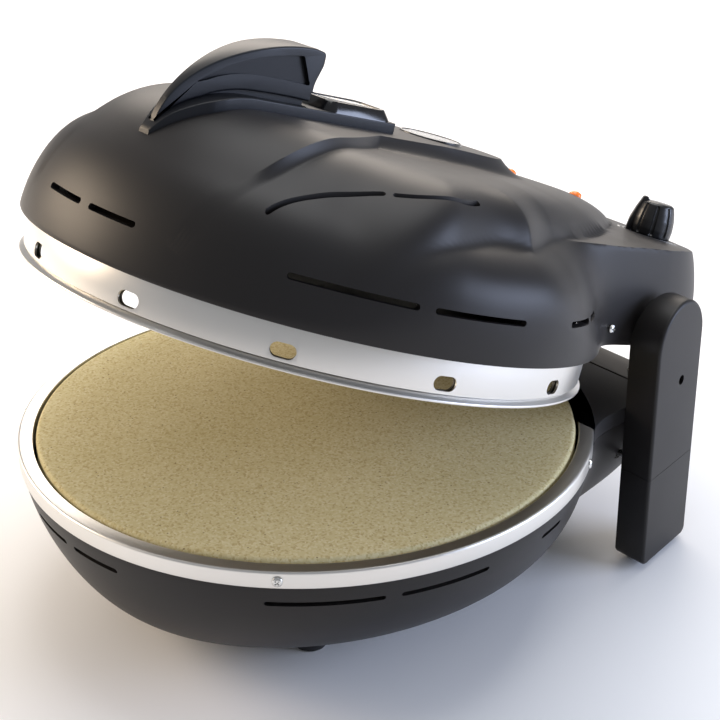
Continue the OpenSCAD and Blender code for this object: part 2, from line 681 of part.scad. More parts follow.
module gauge_disc() color("#c9cbce") gauge_seat() cylinder(r = gauge_r - 1.6, h = 7, $fn = 96);

function lamp_z(y) = lid_top(180, y - cy);
module indicator_lamps() color("#e8803a") swung() for (y = lamps)
    translate([0, y, lamp_z(y) - 8]) {
        cylinder(r = 4.2, h = 8.6, $fn = 40);
        translate([0, 0, 6.1]) intersection() {
            sphere(r = 4.9, $fn = 40);
            cylinder(r = 4.2, h = 9, $fn = 40);
        }
    }

module thermostat() color("#cfc9b8") swung() translate([dial_x, dial_y, 0]) difference() {
    union() {
        translate([-15, -13, 56]) cube([30, 22, 9]);
        translate([0, 0, 65]) cylinder(r = 6.5, h = 6, $fn = 32);
    }
    translate([0, 0, 58]) cylinder(r = 3 + run, h = 30, $fn = 40);
}

// Round base let into the deck, under the dial
dial_z = deck_level(dial_y) + 0.4;
module dial_base() color(black) swung() translate([dial_x, dial_y, dial_z]) difference() {
    union() {
        translate([0, 0, -8]) cylinder(r = dial_r + 3, h = 8, $fn = 96);
        translate([0, 0, -8.8]) cylinder(r = 8, h = 3, $fn = 48);
    }
    translate([0, 0, -20]) cylinder(r = 4.2, h = 30, $fn = 32);
}

// Bulged knob with grooves down its side and a pointer that stands out and above it
module dial_knob() color("#161618") swung() translate([dial_x, dial_y, dial_z + 0.5]) difference() {
    union() {
        rotate_extrude($fn = 96) polygon([
            [0, 0], [dial_r - 1, 0], [dial_r - 0.6, 0.6], [dial_r - 0.2, dial_h * 0.25],
            [dial_r - 0.6, dial_h * 0.5], [dial_r - 1.8, dial_h * 0.75], [dial_r - 3, dial_h - 1.2],
            [dial_r - 4.2, dial_h], [0, dial_h]
        ]);
        rotate([0, 0, -40]) intersection() {
            translate([-2, -dial_r - 4, 0]) cube([4, 10, dial_h + 3]);
            rotate_extrude($fn = 96) polygon([
                [0, 0], [dial_r + 2.6, 0], [dial_r + 1.8, dial_h * 0.4], [dial_r - 0.4, dial_h * 0.75],
                [dial_r - 3, dial_h + 1.6], [dial_r - 5, dial_h + 2.2], [0, dial_h + 2.2]
            ]);
        }
    }
    for (i = [1:grips - 1]) rotate([0, 0, 360 * i / grips - 130]) translate([dial_r, 0, 2])
        rotate([0, -8, 0]) cylinder(r = 1.3, h = dial_h + 4, $fn = 20);
    translate([0, 0, -1]) cylinder(r = 3, h = dial_h - 3, $fn = 40);
}

module dial_spindle() color("silver") swung() translate([dial_x, dial_y, 59])
    cylinder(r = 3, h = dial_z + 0.5 + dial_h - 4 - 59, $fn = 40);

base_shell();
base_ring();
base_ring_screws();
base_deck();
deck_screws();
heat_pan();
stone_rests();
lower_element();
lower_element_clips();
terminal_block();
cord_gland();
front_feet();
arm_right();
arm_left();
arm_right_foot();
arm_left_foot();
arm_pads();
arm_screws();
hinge_pin_right();
hinge_pin_left();
pizza_stone();
lid_shell();
lid_rear_cover();
lid_band();
lid_flange();
lid_reflector();
upper_element();
upper_element_clips();
hinge_bracket_right();
hinge_bracket_left();
hinge_bush_right();
hinge_bush_left();
lid_screws();
handle_plate();
handle_fin();
window_bezel();
window_glass();
gauge_rim();
gauge_disc();
indicator_lamps();
thermostat();
dial_base();
dial_knob();
dial_spindle();
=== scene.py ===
"""Looks of the electric pizza maker: smooth casings, satin steel, a speckled stone, on a pale floor.

Every size is in millimetres in the base's own frame (the stone's axis on the steel ring's
top plane, -Y the front) until table() or lid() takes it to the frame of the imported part.
"""

import json
import math

import bpy
import numpy as np
from bpy.props import FloatProperty, FloatVectorProperty, IntProperty, PointerProperty
from mathutils import Matrix, Vector


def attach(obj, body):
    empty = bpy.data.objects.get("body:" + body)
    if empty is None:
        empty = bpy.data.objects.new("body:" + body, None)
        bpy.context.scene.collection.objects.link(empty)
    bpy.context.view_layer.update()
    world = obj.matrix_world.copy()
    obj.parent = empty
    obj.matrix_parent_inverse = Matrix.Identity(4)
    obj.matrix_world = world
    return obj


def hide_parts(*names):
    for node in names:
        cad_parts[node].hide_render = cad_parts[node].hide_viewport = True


bl_info = {
    "name": "Pizza maker looks",
    "version": (1, 0, 0),
    "blender": (4, 5, 0),
    "location": "View3D > Sidebar > Pizza maker",
    "description": "Builds the visual pieces, finishes and stage of an electric pizza maker",
    "category": "Object",
}

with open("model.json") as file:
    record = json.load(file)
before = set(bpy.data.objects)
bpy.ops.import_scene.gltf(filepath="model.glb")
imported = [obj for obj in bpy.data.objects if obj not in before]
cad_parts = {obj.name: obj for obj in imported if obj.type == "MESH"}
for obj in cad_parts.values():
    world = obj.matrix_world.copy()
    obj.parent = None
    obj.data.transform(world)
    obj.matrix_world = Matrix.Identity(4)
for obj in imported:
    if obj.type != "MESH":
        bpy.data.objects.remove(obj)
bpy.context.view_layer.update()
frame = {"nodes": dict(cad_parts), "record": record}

MM = 0.001
RING_H = 102.0          # steel ring above the table
MID_Y = 43.75           # stone's axis to the middle of the footprint
HINGE_Y, HINGE_Z = 184.5, 39.5
OPEN = 19.8             # degrees the lid stands open
CY = 20.0               # centre the casings' outlines are drawn from

# base: outer radius, bowl's height, rear bay's half width and length, rim's height, wall
BODY_R, BOWL_H, BAY_X, BAY_Y, RIM_Z, WALL = 164.2, 76.0, 113.8, 196.0, -9.8, 3.0
# arms: inner face, thickness, taper in degrees, top's radius, middle, seam between the two parts
ARM_X, ARM_T, ARM_TAPER, ARM_R, ARM_Y, SEAM = 114.1, 22.4, 11.5, 25.6, 170.8, -40.0
# lid: radius, lower edges of the skirt and the flange, half width and length of the rear
LID_R, SKIRT_Z, FLANGE_Z, REAR_X, REAR_Y = 163.4, 26.0, 3.5, 112.5, 248.0
# heights of the crown and the hood, half width and length of the spine
CROWN_Z, RIDGE_Z, SPINE_X, SPINE_Y = 110.0, 102.0, 31.0, 113.0
DECK_X, DECK_Z = 105.0, 81.0        # half width and height of the lid's deck
STONE_R, BAND_R = 154.0, 159.2      # radii of the stone and of the lid's flange
DIAL_X, DIAL_Y, DIAL_R, DIAL_H = 54.0, 217.0, 13.0, 21.0    # place, radius and height
# handle: plate's half width and thickness, fin's half width, rail left under the fin's hollow
PLATE_X, PLATE_T, FIN_X, RAIL = 17.0, 5.3, 11.0, 8.0
# each upper slot bends from its start to its end, drawn by the point between them
UPPER_SLOTS = (((86, -119), (88.5, -92.5), (105, -68)), ((109, -63), (126.5, -40), (117, -14)))
GAUGE_Y, GAUGE_R, WINDOW_Y = 63.0, 18.4, -9.5
LAMPS = (137.5, 204.0)      # places along the middle
# slots in the walls of the lid and the base: from and to, in degrees from the front
SLOTS_LOW = ((1.3, 13.5), (42.5, 65.5), (68.3, 87.5), (101.5, 112.0), (114.0, 123.0))
SLOTS_BASE = ((1.3, 13.5), (43.0, 65.0), (68.0, 86.5), (101.5, 108.5))
SLOT_HALF = 1.5         # half the upper slots' width
RING_SCREWS = (-122.4, -45.7, 45.7, 122.4)
LID_SCREW_X, LID_SCREW_Y, LID_SCREW_Z = 115.8, 126, 36
DECK_SCREWS = ((-84, 186), (84, 186))
FEET = ((-62, -50), (62, -50))
LOWER_LOOPS = ((112, -27, -16), (62, -27, -16))     # radius, height and tail of each heater loop
UPPER_LOOPS = ((118, 29, 18), (66, 34, 15))
DIAL_ZERO = -130        # degrees from the right to the dial's pointer
CREASE = 34.0           # degrees between faces, from which an edge looks sharp

# the camera, about the stone's axis: angles in degrees, shifts in mm, focal length in picture widths
CAMERA_AZ, CAMERA_EL, CAMERA_ROLL = 49.263, 26.164, -0.141
CAMERA_BACK, CAMERA_RIGHT, CAMERA_UP = 989.13, 30.743, 31.888
CAMERA_FOCAL, SENSOR = 1716.98 / 720, 36.0


# ---------- places ----------

def table(p):
    """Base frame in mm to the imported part's frame in metres."""
    p = np.asarray(p, float).reshape(-1, 3)
    return (p + (0.0, -MID_Y, RING_H)) * MM


def lid(p):
    """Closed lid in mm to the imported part's frame in metres, swung open about the hinge."""
    p = np.asarray(p, float).reshape(-1, 3)
    c, s = math.cos(math.radians(OPEN)), math.sin(math.radians(OPEN))
    y, z = p[:, 1] - HINGE_Y, p[:, 2] - HINGE_Z
    return table(np.stack([p[:, 0], HINGE_Y + y * c + z * s, HINGE_Z + z * c - y * s], 1))


# ---------- surface rules of the casings ----------

def clamp01(t):
    return np.clip(t, 0.0, 1.0)


def ease(t):
    """Smooth step from 0 to 1."""
    c = clamp01(t)
    return c * c * (3 - 2 * c)


def lerp(a, b, t):
    return a + (b - a) * t


def sind(a):
    return np.sin(np.radians(a))


def cosd(a):
    return np.cos(np.radians(a))


def circle_ray(r, a):
    """Ray from (0, CY) at angle a (0 = front, 90 = right) to a circle about the origin."""
    return CY * cosd(a) + np.sqrt(r * r - (CY * sind(a)) ** 2)


def box_ray(x, l, p, a, front=60.0):
    """The same ray to a superellipse of half width x and rear length l."""
    reach = np.where(cosd(a) > 0, front, l)
    return ((np.abs(sind(a)) / x) ** p + (np.abs(cosd(a)) / reach) ** p) ** (-1.0 / p)


def plan_ray(r, x, l, p, a):
    """The farther of the circle and the box, with the corner between them eased."""
    return (circle_ray(r, a) ** 24 + box_ray(x, l, p, a) ** 24) ** (1 / 24)


def lid_ray(a):
    """Outline of the lid."""
    return plan_ray(LID_R, REAR_X, REAR_Y - CY, 5, a)


def leaf_ray(a):
    """Outline of the hood: the lid's own in front, closing in like a leaf towards the rear."""
    b = np.minimum(a, 360 - a)
    return lerp(circle_ray(LID_R - 0.6, b), box_ray(125, 212, 1.3, b), ease((b - 48) / 62))


def fall(s):
    """Share of its height that the lid's front keeps, from its middle out to its edge."""
    return (1 - clamp01(2 * s - 1) ** 2.1) ** 0.6135


def under_z(y):
    """Height of the lid's lower edge, which rises towards the rear."""
    return SKIRT_Z + 28 * ease((y - 160) / 100)


def deck_ray(a):
    """Outline of the lid's flat deck."""
    return np.minimum(0.95 * lid_ray(a), box_ray(DECK_X, 216, 6, a, 160.0))


def deck_level(y):
    """Height of the deck along its middle."""
    return lerp(96, DECK_Z, ease((y + 150) / 130)) - 2.5 * ease((y - 190) / 50)


def filled(a):
    """How far the soft shoulder has filled out, from the front round to the sides."""
    return ease((np.minimum(a, 360 - a) - 42) / 25)


def deck_top(a, r):
    """Height of the deck and its shoulder: soft round the front, crisp at the rear."""
    y, edge = CY - r * cosd(a), deck_ray(a)
    n = 2 - 0.85 * ease((y - 46) / 60) + 0.85 * ease((np.minimum(a, 360 - a) - 150) / 25)
    crisp = (1 - clamp01((r - edge) / (lid_ray(a) - edge)) ** n) ** (1 / n)
    soft = (1 - clamp01(r / lid_ray(a)) ** 8) ** lerp(0.6, 0.25, filled(a))
    return under_z(y) + (deck_level(y) - under_z(y)) * lerp(soft, crisp, ease((y - 5) / 70))


def ridge_level(y):
    """Height of the hood along its middle."""
    return np.where(y < 60, lerp(CROWN_Z - 4, RIDGE_Z, (y + 150) / 210),
                    lerp(RIDGE_Z, RIDGE_Z - 10, (y - 60) / 150))


def crown_ray(a):
    """Outline of the crown, the raised spine that carries the handle."""
    b = np.minimum(a, 360 - a)
    spine = SPINE_X / np.maximum(0.01, sind(b)) + 84 * ease((50 - b) / 26)
    return np.where(b < 90, np.minimum(0.985 * lid_ray(b), spine),
                    box_ray(SPINE_X, SPINE_Y - CY, 3, b))


def crown_flank(a):
    """Width of the slope round the crown."""
    return 12 + 14 * ease((np.minimum(a, 360 - a) - 130) / 50)


def crown_top(x, y):
    """Height of the crown."""
    high = CROWN_Z - 4 * ease((y - 40) / 90) - SKIRT_Z
    return SKIRT_Z + high * fall(np.hypot(x, np.minimum(y, 30)) / LID_R) - 1.6 * (x / 66) ** 2


def smooth_max(a, b, k):
    """The larger of two heights, the crease between them eased over about k."""
    return (a + b + np.sqrt((a - b) ** 2 + k * k)) / 2


def body_top(a, r):
    """Height of the hood and the deck, without the crown."""
    y, deck, t = CY - r * cosd(a), deck_top(a, r), r / leaf_ray(a)
    k = ease((y - 20) / 130)
    side = (1 - clamp01(t) ** 8) ** 0.25
    front = SKIRT_Z + (ridge_level(y) - SKIRT_Z) * lerp(fall(t), side, filled(a))
    rear = deck + (ridge_level(y) - deck_level(y)) * (1 - clamp01(t) ** 8) ** 0.7
    return smooth_max(deck, lerp(front, rear, k), lerp(3, 2.0, k))


def lid_top(a, r):
    """Height of the lid's top at angle a and radius r from (0, CY)."""
    edge = crown_ray(a)
    at = np.minimum(r, edge)
    x, y = at * sind(a), CY - at * cosd(a)
    step = smooth_max(0, crown_top(x, y) - body_top(a, at), 2)
    return body_top(a, r) + step * (1 - clamp01((r - edge) / crown_flank(a))) ** 2


def lid_height(x, y):
    """Height of the lid's top at a point."""
    a = math.degrees(math.atan2(abs(x), CY - y))
    return float(lid_top(np.float64(a), np.float64(math.hypot(x, y - CY))))


# ---------- shapes ----------

def loft(rings, capped=True):
    """Skin over equal closed rings of points; the ends are closed by flat polygons."""
    n = len(rings[0])
    verts = np.concatenate([np.asarray(r, float).reshape(-1, 3) for r in rings])
    faces = []
    for k in range(len(rings) - 1):
        for i in range(n):
            j = (i + 1) % n
            faces.append((k * n + i, k * n + j, (k + 1) * n + j, (k + 1) * n + i))
    if capped:
        last = (len(rings) - 1) * n
        faces.append(tuple(range(n - 1, -1, -1)))
        faces.append(tuple(range(last, last + n)))
    return verts, faces


def rounded(points, radius, steps=5):
    """Closed outline with its corners rounded; radius is one number or one for each corner."""
    pts = [np.array(p, float) for p in points]
    out = []
    for i, p in enumerate(pts):
        r = radius if np.isscalar(radius) else radius[i]
        u, v = pts[i - 1] - p, pts[(i + 1) % len(pts)] - p
        lu, lv = np.linalg.norm(u), np.linalg.norm(v)
        turn = math.acos(max(-1, min(1, float(u @ v) / (lu * lv))))
        if r <= 0 or turn > 3.05:
            out.append(p)
            continue
        back = min(r / math.tan(turn / 2), 0.49 * lu, 0.49 * lv)
        r = back * math.tan(turn / 2)
        mid = u / lu + v / lv
        centre = p + mid / np.linalg.norm(mid) * (r / math.sin(turn / 2))
        a, b = p + u / lu * back - centre, p + v / lv * back - centre
        sweep = math.atan2(a[0] * b[1] - a[1] * b[0], float(a @ b))
        for k in range(steps + 1):
            t = sweep * k / steps
            out.append(centre + (a[0] * math.cos(t) - a[1] * math.sin(t),
                                 a[0] * math.sin(t) + a[1] * math.cos(t)))
    return np.array(out)


def revolve(profile, around=256, centre=(0.0, 0.0)):
    """Closed profile of (radius, z) turned about a vertical axis."""
    prof = np.asarray(profile, float)
    n = len(prof)
    t = np.arange(around) * 2 * math.pi / around
    verts = np.stack([
        centre[0] + np.outer(np.cos(t), prof[:, 0]).ravel(),
        centre[1] + np.outer(np.sin(t), prof[:, 0]).ravel(),
        np.tile(prof[:, 1], around)], 1)
    faces = []
    for k in range(around):
        m = (k + 1) % around
        for i in range(n):
            j = (i + 1) % n
            if prof[i, 0] < 1e-9 and prof[j, 0] < 1e-9:
                continue
            faces.append((k * n + i, m * n + i, m * n + j, k * n + j))
    return verts, faces


def normals2(outline):
    """Outward normals of a closed outline that runs counter-clockwise."""
    d = np.roll(outline, -1, 0) - np.roll(outline, 1, 0)
    d /= np.maximum(1e-9, np.linalg.norm(d, axis=1))[:, None]
    return np.stack([d[:, 1], -d[:, 0]], 1)


def wound(outline):
    """The outline, running counter-clockwise."""
    o = np.asarray(outline, float)
    area = np.sum(o[:, 0] * np.roll(o[:, 1], -1) - o[:, 1] * np.roll(o[:, 0], -1))
    return o if area > 0 else o[::-1].copy()


def prism(outline, z0, z1, edge=0.6, steps=4, place=None):
    """Outline drawn out from z0 to z1 with eased edges; place(u, v, w) turns it into space."""
    o = wound(outline)
    nrm = normals2(o)
    rings = []
    for k in range(steps + 1):
        t = math.pi / 2 * k / steps
        rings.append((o - nrm * edge * (1 - math.sin(t)), z0 + edge * (1 - math.cos(t))))
    for k in range(steps, -1, -1):
        t = math.pi / 2 * k / steps
        rings.append((o - nrm * edge * (1 - math.sin(t)), z1 - edge * (1 - math.cos(t))))
    place = place or (lambda u, v, w: np.stack([u, v, w], 1))
    return loft([place(r[:, 0], r[:, 1], np.full(len(r), z)) for r, z in rings])


def stadium(length, width, steps=12):
    """Outline of a slot with round ends, lying along u."""
    r, half = width / 2, (length - width) / 2
    t = np.linspace(-math.pi / 2, math.pi / 2, steps + 1)
    right = np.stack([half + r * np.cos(t), r * np.sin(t)], 1)
    return np.concatenate([right, -right])


def arc_slot(a0, a1, r0, r1, z0, z1, steps=40):
    """Cutter for a slot in a wall: round ends, running round the axis from a0 to a1 degrees."""
    mid = (r0 + r1) / 2
    half = math.radians(a1 - a0) / 2 * mid
    r = (z1 - z0) / 2
    t = np.linspace(-math.pi / 2, math.pi / 2, 9)
    run = np.linspace(-(half - r), half - r, steps)
    right = np.stack([half - r + r * np.cos(t), r * np.sin(t)], 1)
    outline = np.concatenate([right, np.stack([run[-2:0:-1], np.full(steps - 2, r)], 1),
                              -right, np.stack([run[1:-1], np.full(steps - 2, -r)], 1)])
    centre, zc = (a0 + a1) / 2, (z0 + z1) / 2

    def place(u, v, w):
        a = np.radians(centre) + u / mid
        return np.stack([w * np.sin(a), -w * np.cos(a), zc + v], 1)
    return prism(outline, r0, r1, 0.0, 1, place)


def disc(r, z0, z1, centre=(0.0, 0.0), around=64):
    """Plain round cutter."""
    return revolve([(0, z0), (r, z0), (r, z1), (0, z1)], around, centre)


def rod(r, x0, x1, y, z, around=48):
    """Plain round cutter lying along X."""
    t = np.arange(around) * 2 * math.pi / around
    ring = np.stack([y + r * np.cos(t), z + r * np.sin(t)], 1)
    return loft([np.insert(ring, 0, x, axis=1) for x in (x0, x1)])


def mirrored(shape):
    """The same shape on the other side of the middle plane."""
    verts, faces = shape
    return verts * (-1.0, 1.0, 1.0), [tuple(reversed(f)) for f in faces]


def joined(shapes):
    """Several shapes as one."""
    verts, faces, start = [], [], 0
    for v, f in shapes:
        verts.append(v)
        faces += [tuple(i + start for i in face) for face in f]
        start += len(v)
    return np.concatenate(verts), faces


# ---------- objects ----------

def mesh_of(name, shape, place):
    """Mesh of a shape, its normals pointing outwards and its doubled points joined."""
    import bmesh
    mesh = bpy.data.meshes.new(name)
    mesh.from_pydata(place(shape[0]).tolist(), [], shape[1])
    bm = bmesh.new()
    bm.from_mesh(mesh)
    bmesh.ops.remove_doubles(bm, verts=bm.verts, dist=1e-7)
    bmesh.ops.dissolve_degenerate(bm, edges=bm.edges, dist=1e-8)
    bmesh.ops.recalc_face_normals(bm, faces=bm.faces)
    bm.to_mesh(mesh)
    bm.free()
    return mesh


def cut(obj, cutters, place):
    """Takes the cutters out of a piece."""
    tool = bpy.data.objects.new("cutter", mesh_of("cutter", joined(cutters), place))
    bpy.context.scene.collection.objects.link(tool)
    mod = obj.modifiers.new("cut", "BOOLEAN")
    mod.object = tool
    mod.operation = "DIFFERENCE"
    mod.solver = "MANIFOLD"
    bpy.context.view_layer.update()
    done = bpy.data.meshes.new_from_object(obj.evaluated_get(bpy.context.evaluated_depsgraph_get()))
    if len(done.polygons) < 12:
        raise RuntimeError(f"cutting {obj.name} went wrong")
    obj.modifiers.clear()
    obj.data = done
    bpy.data.objects.remove(tool)


def piece(name, shape, place, body, finish, stands_for=(), cutters=(), crease=CREASE):
    """Makes one visual piece, gives it its finish and lets it ride its body."""
    obj = bpy.data.objects.new(name, mesh_of(name, shape, place))
    bpy.context.scene.collection.objects.link(obj)
    if cutters:
        cut(obj, cutters, place)
    obj.data.materials.clear()
    obj.data.materials.append(material(finish))
    obj.data.shade_smooth()
    obj.data.set_sharp_from_angle(angle=math.radians(crease))
    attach(obj, body)
    for node in stands_for:
        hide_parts(node)
    return obj


# ---------- finishes ----------

EVEN = (1.0, 1.0, 1.0)      # a pattern that runs no particular way


def linear(code):
    """sRGB hex code to linear RGBA."""
    parts = [int(code[i:i + 2], 16) / 255 for i in (1, 3, 5)]
    return tuple(c / 12.92 if c <= 0.04045 else ((c + 0.055) / 1.055) ** 2.4 for c in parts) + (1.0,)


def fill(node, sockets):
    """Sets a node's sockets: each takes a value, or the output of another node."""
    for key, value in sockets.items():
        if isinstance(value, bpy.types.NodeSocket):
            node.id_data.links.new(value, node.inputs[key])
        else:
            node.inputs[key].default_value = value


def add(tree, kind, sockets=None, **props):
    """Adds a shader node with its settings and links."""
    node = tree.nodes.new("ShaderNode" + kind)
    for key, value in props.items():
        setattr(node, key, value)
    fill(node, sockets or {})
    return node


def start(name):
    """New material with its node tree and its shader."""
    mat = bpy.data.materials.new(name)
    mat.use_nodes = True
    return mat, mat.node_tree, mat.node_tree.nodes["Principled BSDF"]


def coords(tree, stretch=EVEN):
    """Object coordinates in millimetres, stretched along the axes."""
    where = add(tree, "TexCoord").outputs["Object"]
    return add(tree, "Mapping", {"Vector": where, "Scale": tuple(s / MM for s in stretch)}).outputs[0]


def sheen(tree, shader, pattern, rough, spread):
    """Lets a pattern vary the roughness by a spread either way."""
    fill(shader, {"Roughness": add(tree, "MapRange", {
        "Value": pattern, "From Min": 0.3, "From Max": 0.7,
        "To Min": rough - spread, "To Max": rough + spread}).outputs[0]})


def relief(tree, shader, pattern, depth_mm):
    """Lets a pattern raise the surface by up to a depth."""
    fill(shader, {"Normal": add(tree, "Bump", {
        "Height": pattern, "Distance": depth_mm * MM, "Strength": 1.0}).outputs[0]})


def moulded(name, colour, rough, grain_mm=0.35, depth_mm=0.012, specular=0.5):
    """Plastic with the grain of its mould and, 60 mm across, faint patches of more or less sheen.

    A sparked grain is some 0.1 mm across in the real mould: it is drawn coarser so that it shows.
    """
    mat, tree, shader = start(name)
    fill(shader, {"Base Color": colour, "IOR": 1.5, "Specular IOR Level": specular})
    where = coords(tree)
    grain = add(tree, "TexNoise", {"Vector": where, "Scale": 1 / grain_mm, "Detail": 1.0})
    patches = add(tree, "TexNoise", {"Vector": where, "Scale": 1 / 60.0, "Detail": 2.0})
    sheen(tree, shader, patches.outputs[0], rough, 0.02)
    relief(tree, shader, grain.outputs[0], depth_mm)
    return mat


def metal(name, colour, rough, stretch=(0.03, 0.03, 1.0), line_mm=0.25, depth_mm=0.004, spread=0.05):
    """Metal with rolling or brushing lines; stretch sets the way they run.

    Brushed lines are some 0.05 mm apart in the real sheet: they are drawn coarser so that they show.
    """
    mat, tree, shader = start(name)
    fill(shader, {"Base Color": colour, "Metallic": 1.0})
    lines = add(tree, "TexNoise", {"Vector": coords(tree, stretch), "Scale": 1 / line_mm,
                                   "Detail": 3.0, "Roughness": 0.6})
    sheen(tree, shader, lines.outputs[0], rough, spread)
    relief(tree, shader, lines.outputs[0], depth_mm)
    return mat


def fired_stone(name, colour):
    """Pressed cordierite: pale khaki ground, brown and ochre grains, dark specks and open pores."""
    mat, tree, shader = start(name)
    where = coords(tree)
    cloud = add(tree, "TexNoise", {"Vector": where, "Scale": 1 / 45.0, "Detail": 3.0})
    ground = add(tree, "MixRGB", {"Fac": cloud.outputs[0], "Color1": linear("#cbbf8c"),
                                  "Color2": colour})
    grain = add(tree, "TexVoronoi", {"Vector": where, "Scale": 1 / 1.1, "Randomness": 1.0})
    pick = add(tree, "SeparateColor", {"Color": grain.outputs["Color"]})
    tint = add(tree, "ValToRGB", {"Fac": pick.outputs[0]})
    ramp = tint.color_ramp
    ramp.interpolation = "CONSTANT"
    ramp.elements[0].color = linear("#a88b50")
    ramp.elements[1].position = 0.1
    ramp.elements[1].color = linear("#d4c899")
    for place, code in ((0.55, "#e2d9b2"), (0.82, "#c0ad75"), (0.93, "#ece6c8")):
        ramp.elements.new(place).color = linear(code)
    mottled = add(tree, "MixRGB", {"Fac": 0.42, "Color1": ground.outputs[0],
                                   "Color2": tint.outputs[0]})
    specks = add(tree, "TexVoronoi", {"Vector": where, "Scale": 1 / 5.2, "Randomness": 1.0})
    near = add(tree, "MapRange", {"Value": specks.outputs["Distance"], "From Min": 0.05,
                                  "From Max": 0.12, "To Min": 1.0, "To Max": 0.0})
    dark = add(tree, "Math", {0: near.outputs[0], 1: 0.75}, operation="MULTIPLY")
    specked = add(tree, "MixRGB", {"Fac": dark.outputs[0], "Color1": mottled.outputs[0],
                                   "Color2": linear("#6b4a26")})
    fill(shader, {"Base Color": specked.outputs[0], "Roughness": 0.82, "Specular IOR Level": 0.3})
    pores = add(tree, "TexNoise", {"Vector": where, "Scale": 1 / 0.8, "Detail": 4.0, "Roughness": 0.7})
    relief(tree, shader, pores.outputs[0], 0.22)
    return mat


def clear_glass(name, colour):
    """Clear pane with a clean, polished face."""
    mat, _, shader = start(name)
    fill(shader, {"Base Color": colour, "Roughness": 0.03, "IOR": 1.5, "Transmission Weight": 1.0})
    return mat


def amber_lens(name, colour):
    """Lens that lets light in and spreads it, with a faint painted glow for that light, and the grain of its
    mould.
    """
    mat, tree, shader = start(name)
    # the weak orange emission is a painted glow that stands in for the light the lens gathers and spreads
    fill(shader, {"Base Color": colour, "Roughness": 0.22, "IOR": 1.58, "Subsurface Weight": 0.6,
                  "Subsurface Scale": 3 * MM, "Subsurface Radius": (1.0, 0.5, 0.2),
                  "Emission Color": linear("#f07a28"), "Emission Strength": 0.25})
    grain = add(tree, "TexNoise", {"Vector": coords(tree), "Scale": 1 / 1.2, "Detail": 1.0})
    relief(tree, shader, grain.outputs[0], 0.1)
    return mat


# Each finish has its slot in the record, its name, its colour, its maker and the maker's settings.
FINISH = {
    # near black, with a broad soft sheen that the sparked grain breaks up
    "shell": ("charcoal_plastic", "ABS, charcoal, injection moulded with a fine spark texture",
              "#1f1d1d", moulded, dict(rough=0.44, specular=0.3)),
    # a little lighter than the casings, and as dull
    "deck": ("deck_plastic", "ABS, dark grey, injection moulded with a fine spark texture",
             "#262526", moulded, dict(rough=0.45, specular=0.35)),
    # bright silver that mirrors the room as soft, drawn-out bands
    "steel": ("satin_steel", "Stainless steel, rolled and satin brushed",
              "#dedcd8", metal, dict(rough=0.34, depth_mm=0.0008, spread=0.02)),
    # almost a mirror, with a glint on each domed head
    "screw": ("screw_steel", "Steel, nickel plated, cold headed",
              "#d8d8d6", metal, dict(rough=0.22, stretch=EVEN, line_mm=0.6, depth_mm=0.0008)),
    # dull warm grey, a little cloudy
    "liner": ("aluminised_steel", "Aluminised steel, deep drawn",
              "#7a766e", metal, dict(rough=0.5, stretch=EVEN, line_mm=4.0, depth_mm=0.01, spread=0.08)),
    # brown grey from the heat, with a dull shine
    "sheath": ("element_sheath", "Nickel alloy, drawn and heat tinted",
               "#6b625c", metal, dict(rough=0.45, stretch=EVEN, line_mm=3.0, depth_mm=0.01, spread=0.08)),
    # pale grey with a soft shine
    "zinc": ("zinc_steel", "Mild steel, pressed and zinc plated",
             "#b3b1ac", metal, dict(rough=0.4, stretch=EVEN, line_mm=2.0, depth_mm=0.01, spread=0.08)),
    # off-white and chalky
    "ceramic": ("ceramic_white", "Steatite, pressed and fired",
                "#e2ddd0", moulded, dict(rough=0.55, grain_mm=0.6, depth_mm=0.02)),
    # milky, with a waxy sheen
    "bush": ("bush_plastic", "Acetal, natural, injection moulded", "#d9d5c8", moulded, dict(rough=0.4)),
    # plain black with a low sheen
    "black": ("black_plastic", "Polyamide, black, injection moulded", "#1d1d1e", moulded, dict(rough=0.45)),
    # black without shine
    "rubber": ("foot_rubber", "Silicone rubber, black, compression moulded",
               "#1a1a1b", moulded, dict(rough=0.7, grain_mm=0.5, depth_mm=0.03)),
    # matt, pale and speckled like sand
    "stone": ("cordierite", "Cordierite, speckled, dry pressed and fired", "#dfd3a6", fired_stone, {}),
    # black with a blue cast and a silky sheen
    "handle": ("handle_plastic", "Polyamide, blue black, injection moulded satin",
               "#15171c", moulded, dict(rough=0.4, grain_mm=0.3, depth_mm=0.008, specular=0.3)),
    # black that mirrors the room
    "gloss": ("gloss_black", "ABS, black, injection moulded to a gloss",
              "#101012", moulded, dict(rough=0.12, grain_mm=2.0, depth_mm=0.002)),
    # clear but for its edges and its shine
    "glass": ("window_glass", "Glass, clear, pressed", "#f4f8fa", clear_glass, {}),
    # silver, lightly lined one way
    "gauge": ("gauge_face", "Aluminium sheet, stamped and satin lacquered",
              "#c4c6c9", metal, dict(rough=0.3, stretch=(1.0, 0.05, 1.0), line_mm=0.2, depth_mm=0.002)),
    # orange, with a faint painted glow that stands in for the light it seems to hold
    "amber": ("amber_lens", "Polycarbonate, amber, injection moulded", "#f08030", amber_lens, {}),
    # black with a smooth sheen
    "dial": ("dial_plastic", "ABS, black, injection moulded satin",
             "#131315", moulded, dict(rough=0.3, grain_mm=0.4, depth_mm=0.006)),
}
CHOSEN = ("shell", "steel", "handle", "dial")     # finishes whose colour the panel offers
_made = {}


def slot_of(kind):
    """Slot in the record that a finish fills."""
    return FINISH[kind][0]


def material(kind):
    """Material of a finish, made when it is first needed."""
    if kind not in _made:
        _, name, code, make, how = FINISH[kind]
        chosen = getattr(bpy.context.scene.pizza_maker, kind) if kind in CHOSEN else linear(code)
        _made[kind] = make(name, tuple(chosen), **how)
    return _made[kind]


# ---------- base ----------

